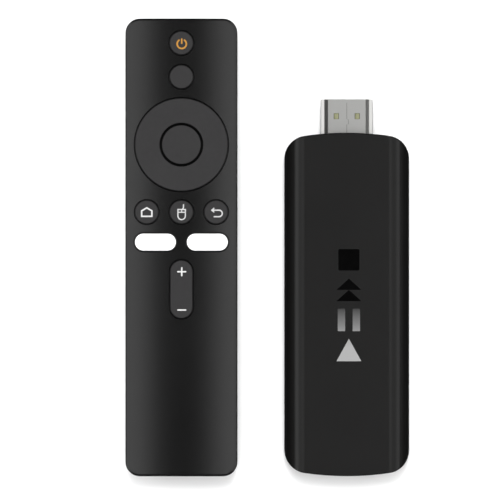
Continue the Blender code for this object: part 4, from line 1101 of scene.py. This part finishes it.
def floor():
    reach = 3.0
    outline = [(-reach, -reach), (reach, -reach), (reach, reach), (-reach, reach)]
    mesh = bpy.data.meshes.new("floor")
    mesh.from_pydata([(x, y, -0.02 * MM) for x, y in outline], [], [(0, 1, 2, 3)])
    obj = in_scene("floor", mesh)
    m = Nodes("pale_floor", (0.93, 0.93, 0.93), 0.6, specular=0.2)
    mesh.materials.append(m.material)
    obj.visible_glossy = False


def softbox(name, place, aim, size, brightness, glossy=True):
    """A rectangular lamp whose face is evenly bright. size is (across, along) the object."""
    light = bpy.data.lights.new(name, "AREA")
    light.shape = "RECTANGLE"
    light.size, light.size_y = size
    light.energy = brightness * math.pi * size[0] * size[1]
    obj = in_scene(name, light)
    away = (Vector(place) - Vector(aim)).normalized()
    across = Vector((0, 1, 0)).cross(away).normalized()
    turn = Matrix((across, away.cross(across), away)).transposed()
    obj.matrix_world = Matrix.Translation(place) @ turn.to_4x4()
    obj.visible_glossy = glossy


def overhead(name, side, low_angle, high_angle, brightness, height=1.2, length=2.0):
    """A long box overhead, level with the floor, from low_angle to high_angle off the zenith."""
    near, far = (height * math.tan(math.radians(a)) for a in (low_angle, high_angle))
    x = side * (near + far) / 2
    softbox(name, (x, 0, height), (x, 0, 0), (far - near, length), brightness)


def side_strip(name, side, angle, half_angle, brightness, distance=1.2, length=2.0):
    """A long box to one side, that faces the object."""
    a = math.radians(angle)
    place = (side * distance * math.sin(a), 0, distance * math.cos(a))
    across = 2 * distance * math.tan(math.radians(half_angle))
    softbox(name, place, (0, 0, 0), (across, length), brightness)


def world_shade(tree, background):
    """The room is dim all round, and darker still below the horizon."""
    place = tree.nodes.new("ShaderNodeTexCoord")
    split = tree.nodes.new("ShaderNodeSeparateXYZ")
    shade_range = tree.nodes.new("ShaderNodeMapRange")
    for socket, value in (("From Min", -0.25), ("From Max", 0.1), ("To Min", 0.02), ("To Max", WORLD)):
        shade_range.inputs[socket].default_value = value
    tree.links.new(place.outputs["Generated"], split.inputs["Vector"])
    tree.links.new(split.outputs["Z"], shade_range.inputs["Value"])
    tree.links.new(shade_range.outputs["Result"], background.inputs["Strength"])


def studio():
    world = bpy.data.worlds.new("studio")
    bpy.context.scene.world = world
    world.use_nodes = True
    background = world.node_tree.nodes["Background"]
    background.inputs["Color"].default_value = (1, 1, 1, 1)
    world_shade(world.node_tree, background)
    overhead("left_overhead", -1, 9.2, 24, OVERHEAD)
    overhead("right_overhead", 1, 6.3, 24, OVERHEAD)
    side_strip("left_shoulder", -1, 37, 13, LEFT_SHOULDER)
    side_strip("right_shoulder", 1, 42, 18, RIGHT_SHOULDER)
    side_strip("left_strip", -1, 64, 14, LEFT_STRIP)
    side_strip("right_strip", 1, 74, 14, RIGHT_STRIP)
    softbox("far_light", (0, 0.62, 2.0), (0, 0, 0), (0.5, 0.62), FAR_LIGHT, glossy=False)
    softbox("top_fill", (0, 0, 2.2), (0, 0, 0), (0.8, 0.8), TOP_FILL, glossy=False)


def camera():
    data = bpy.data.cameras.new("camera")
    obj = in_scene("camera", data)
    distance, picture = 2.0, 133.45 * MM
    focus = Vector((-4.68 * MM, -0.69 * MM, 9 * MM))
    data.sensor_width = 36.0
    data.lens = data.sensor_width * distance / picture
    data.clip_start, data.clip_end = 0.05, 50.0
    obj.location = focus + Vector((0, 0, distance))
    bpy.context.scene.camera = obj
    bpy.context.scene.view_settings.view_transform = "Standard"


camera()
studio()
floor()
stick_casing()
display_plug()
remote_face()
remote_back()
battery_cover()
keys()
rubber_web()
key_marks()
stick_marks()
carried_over()
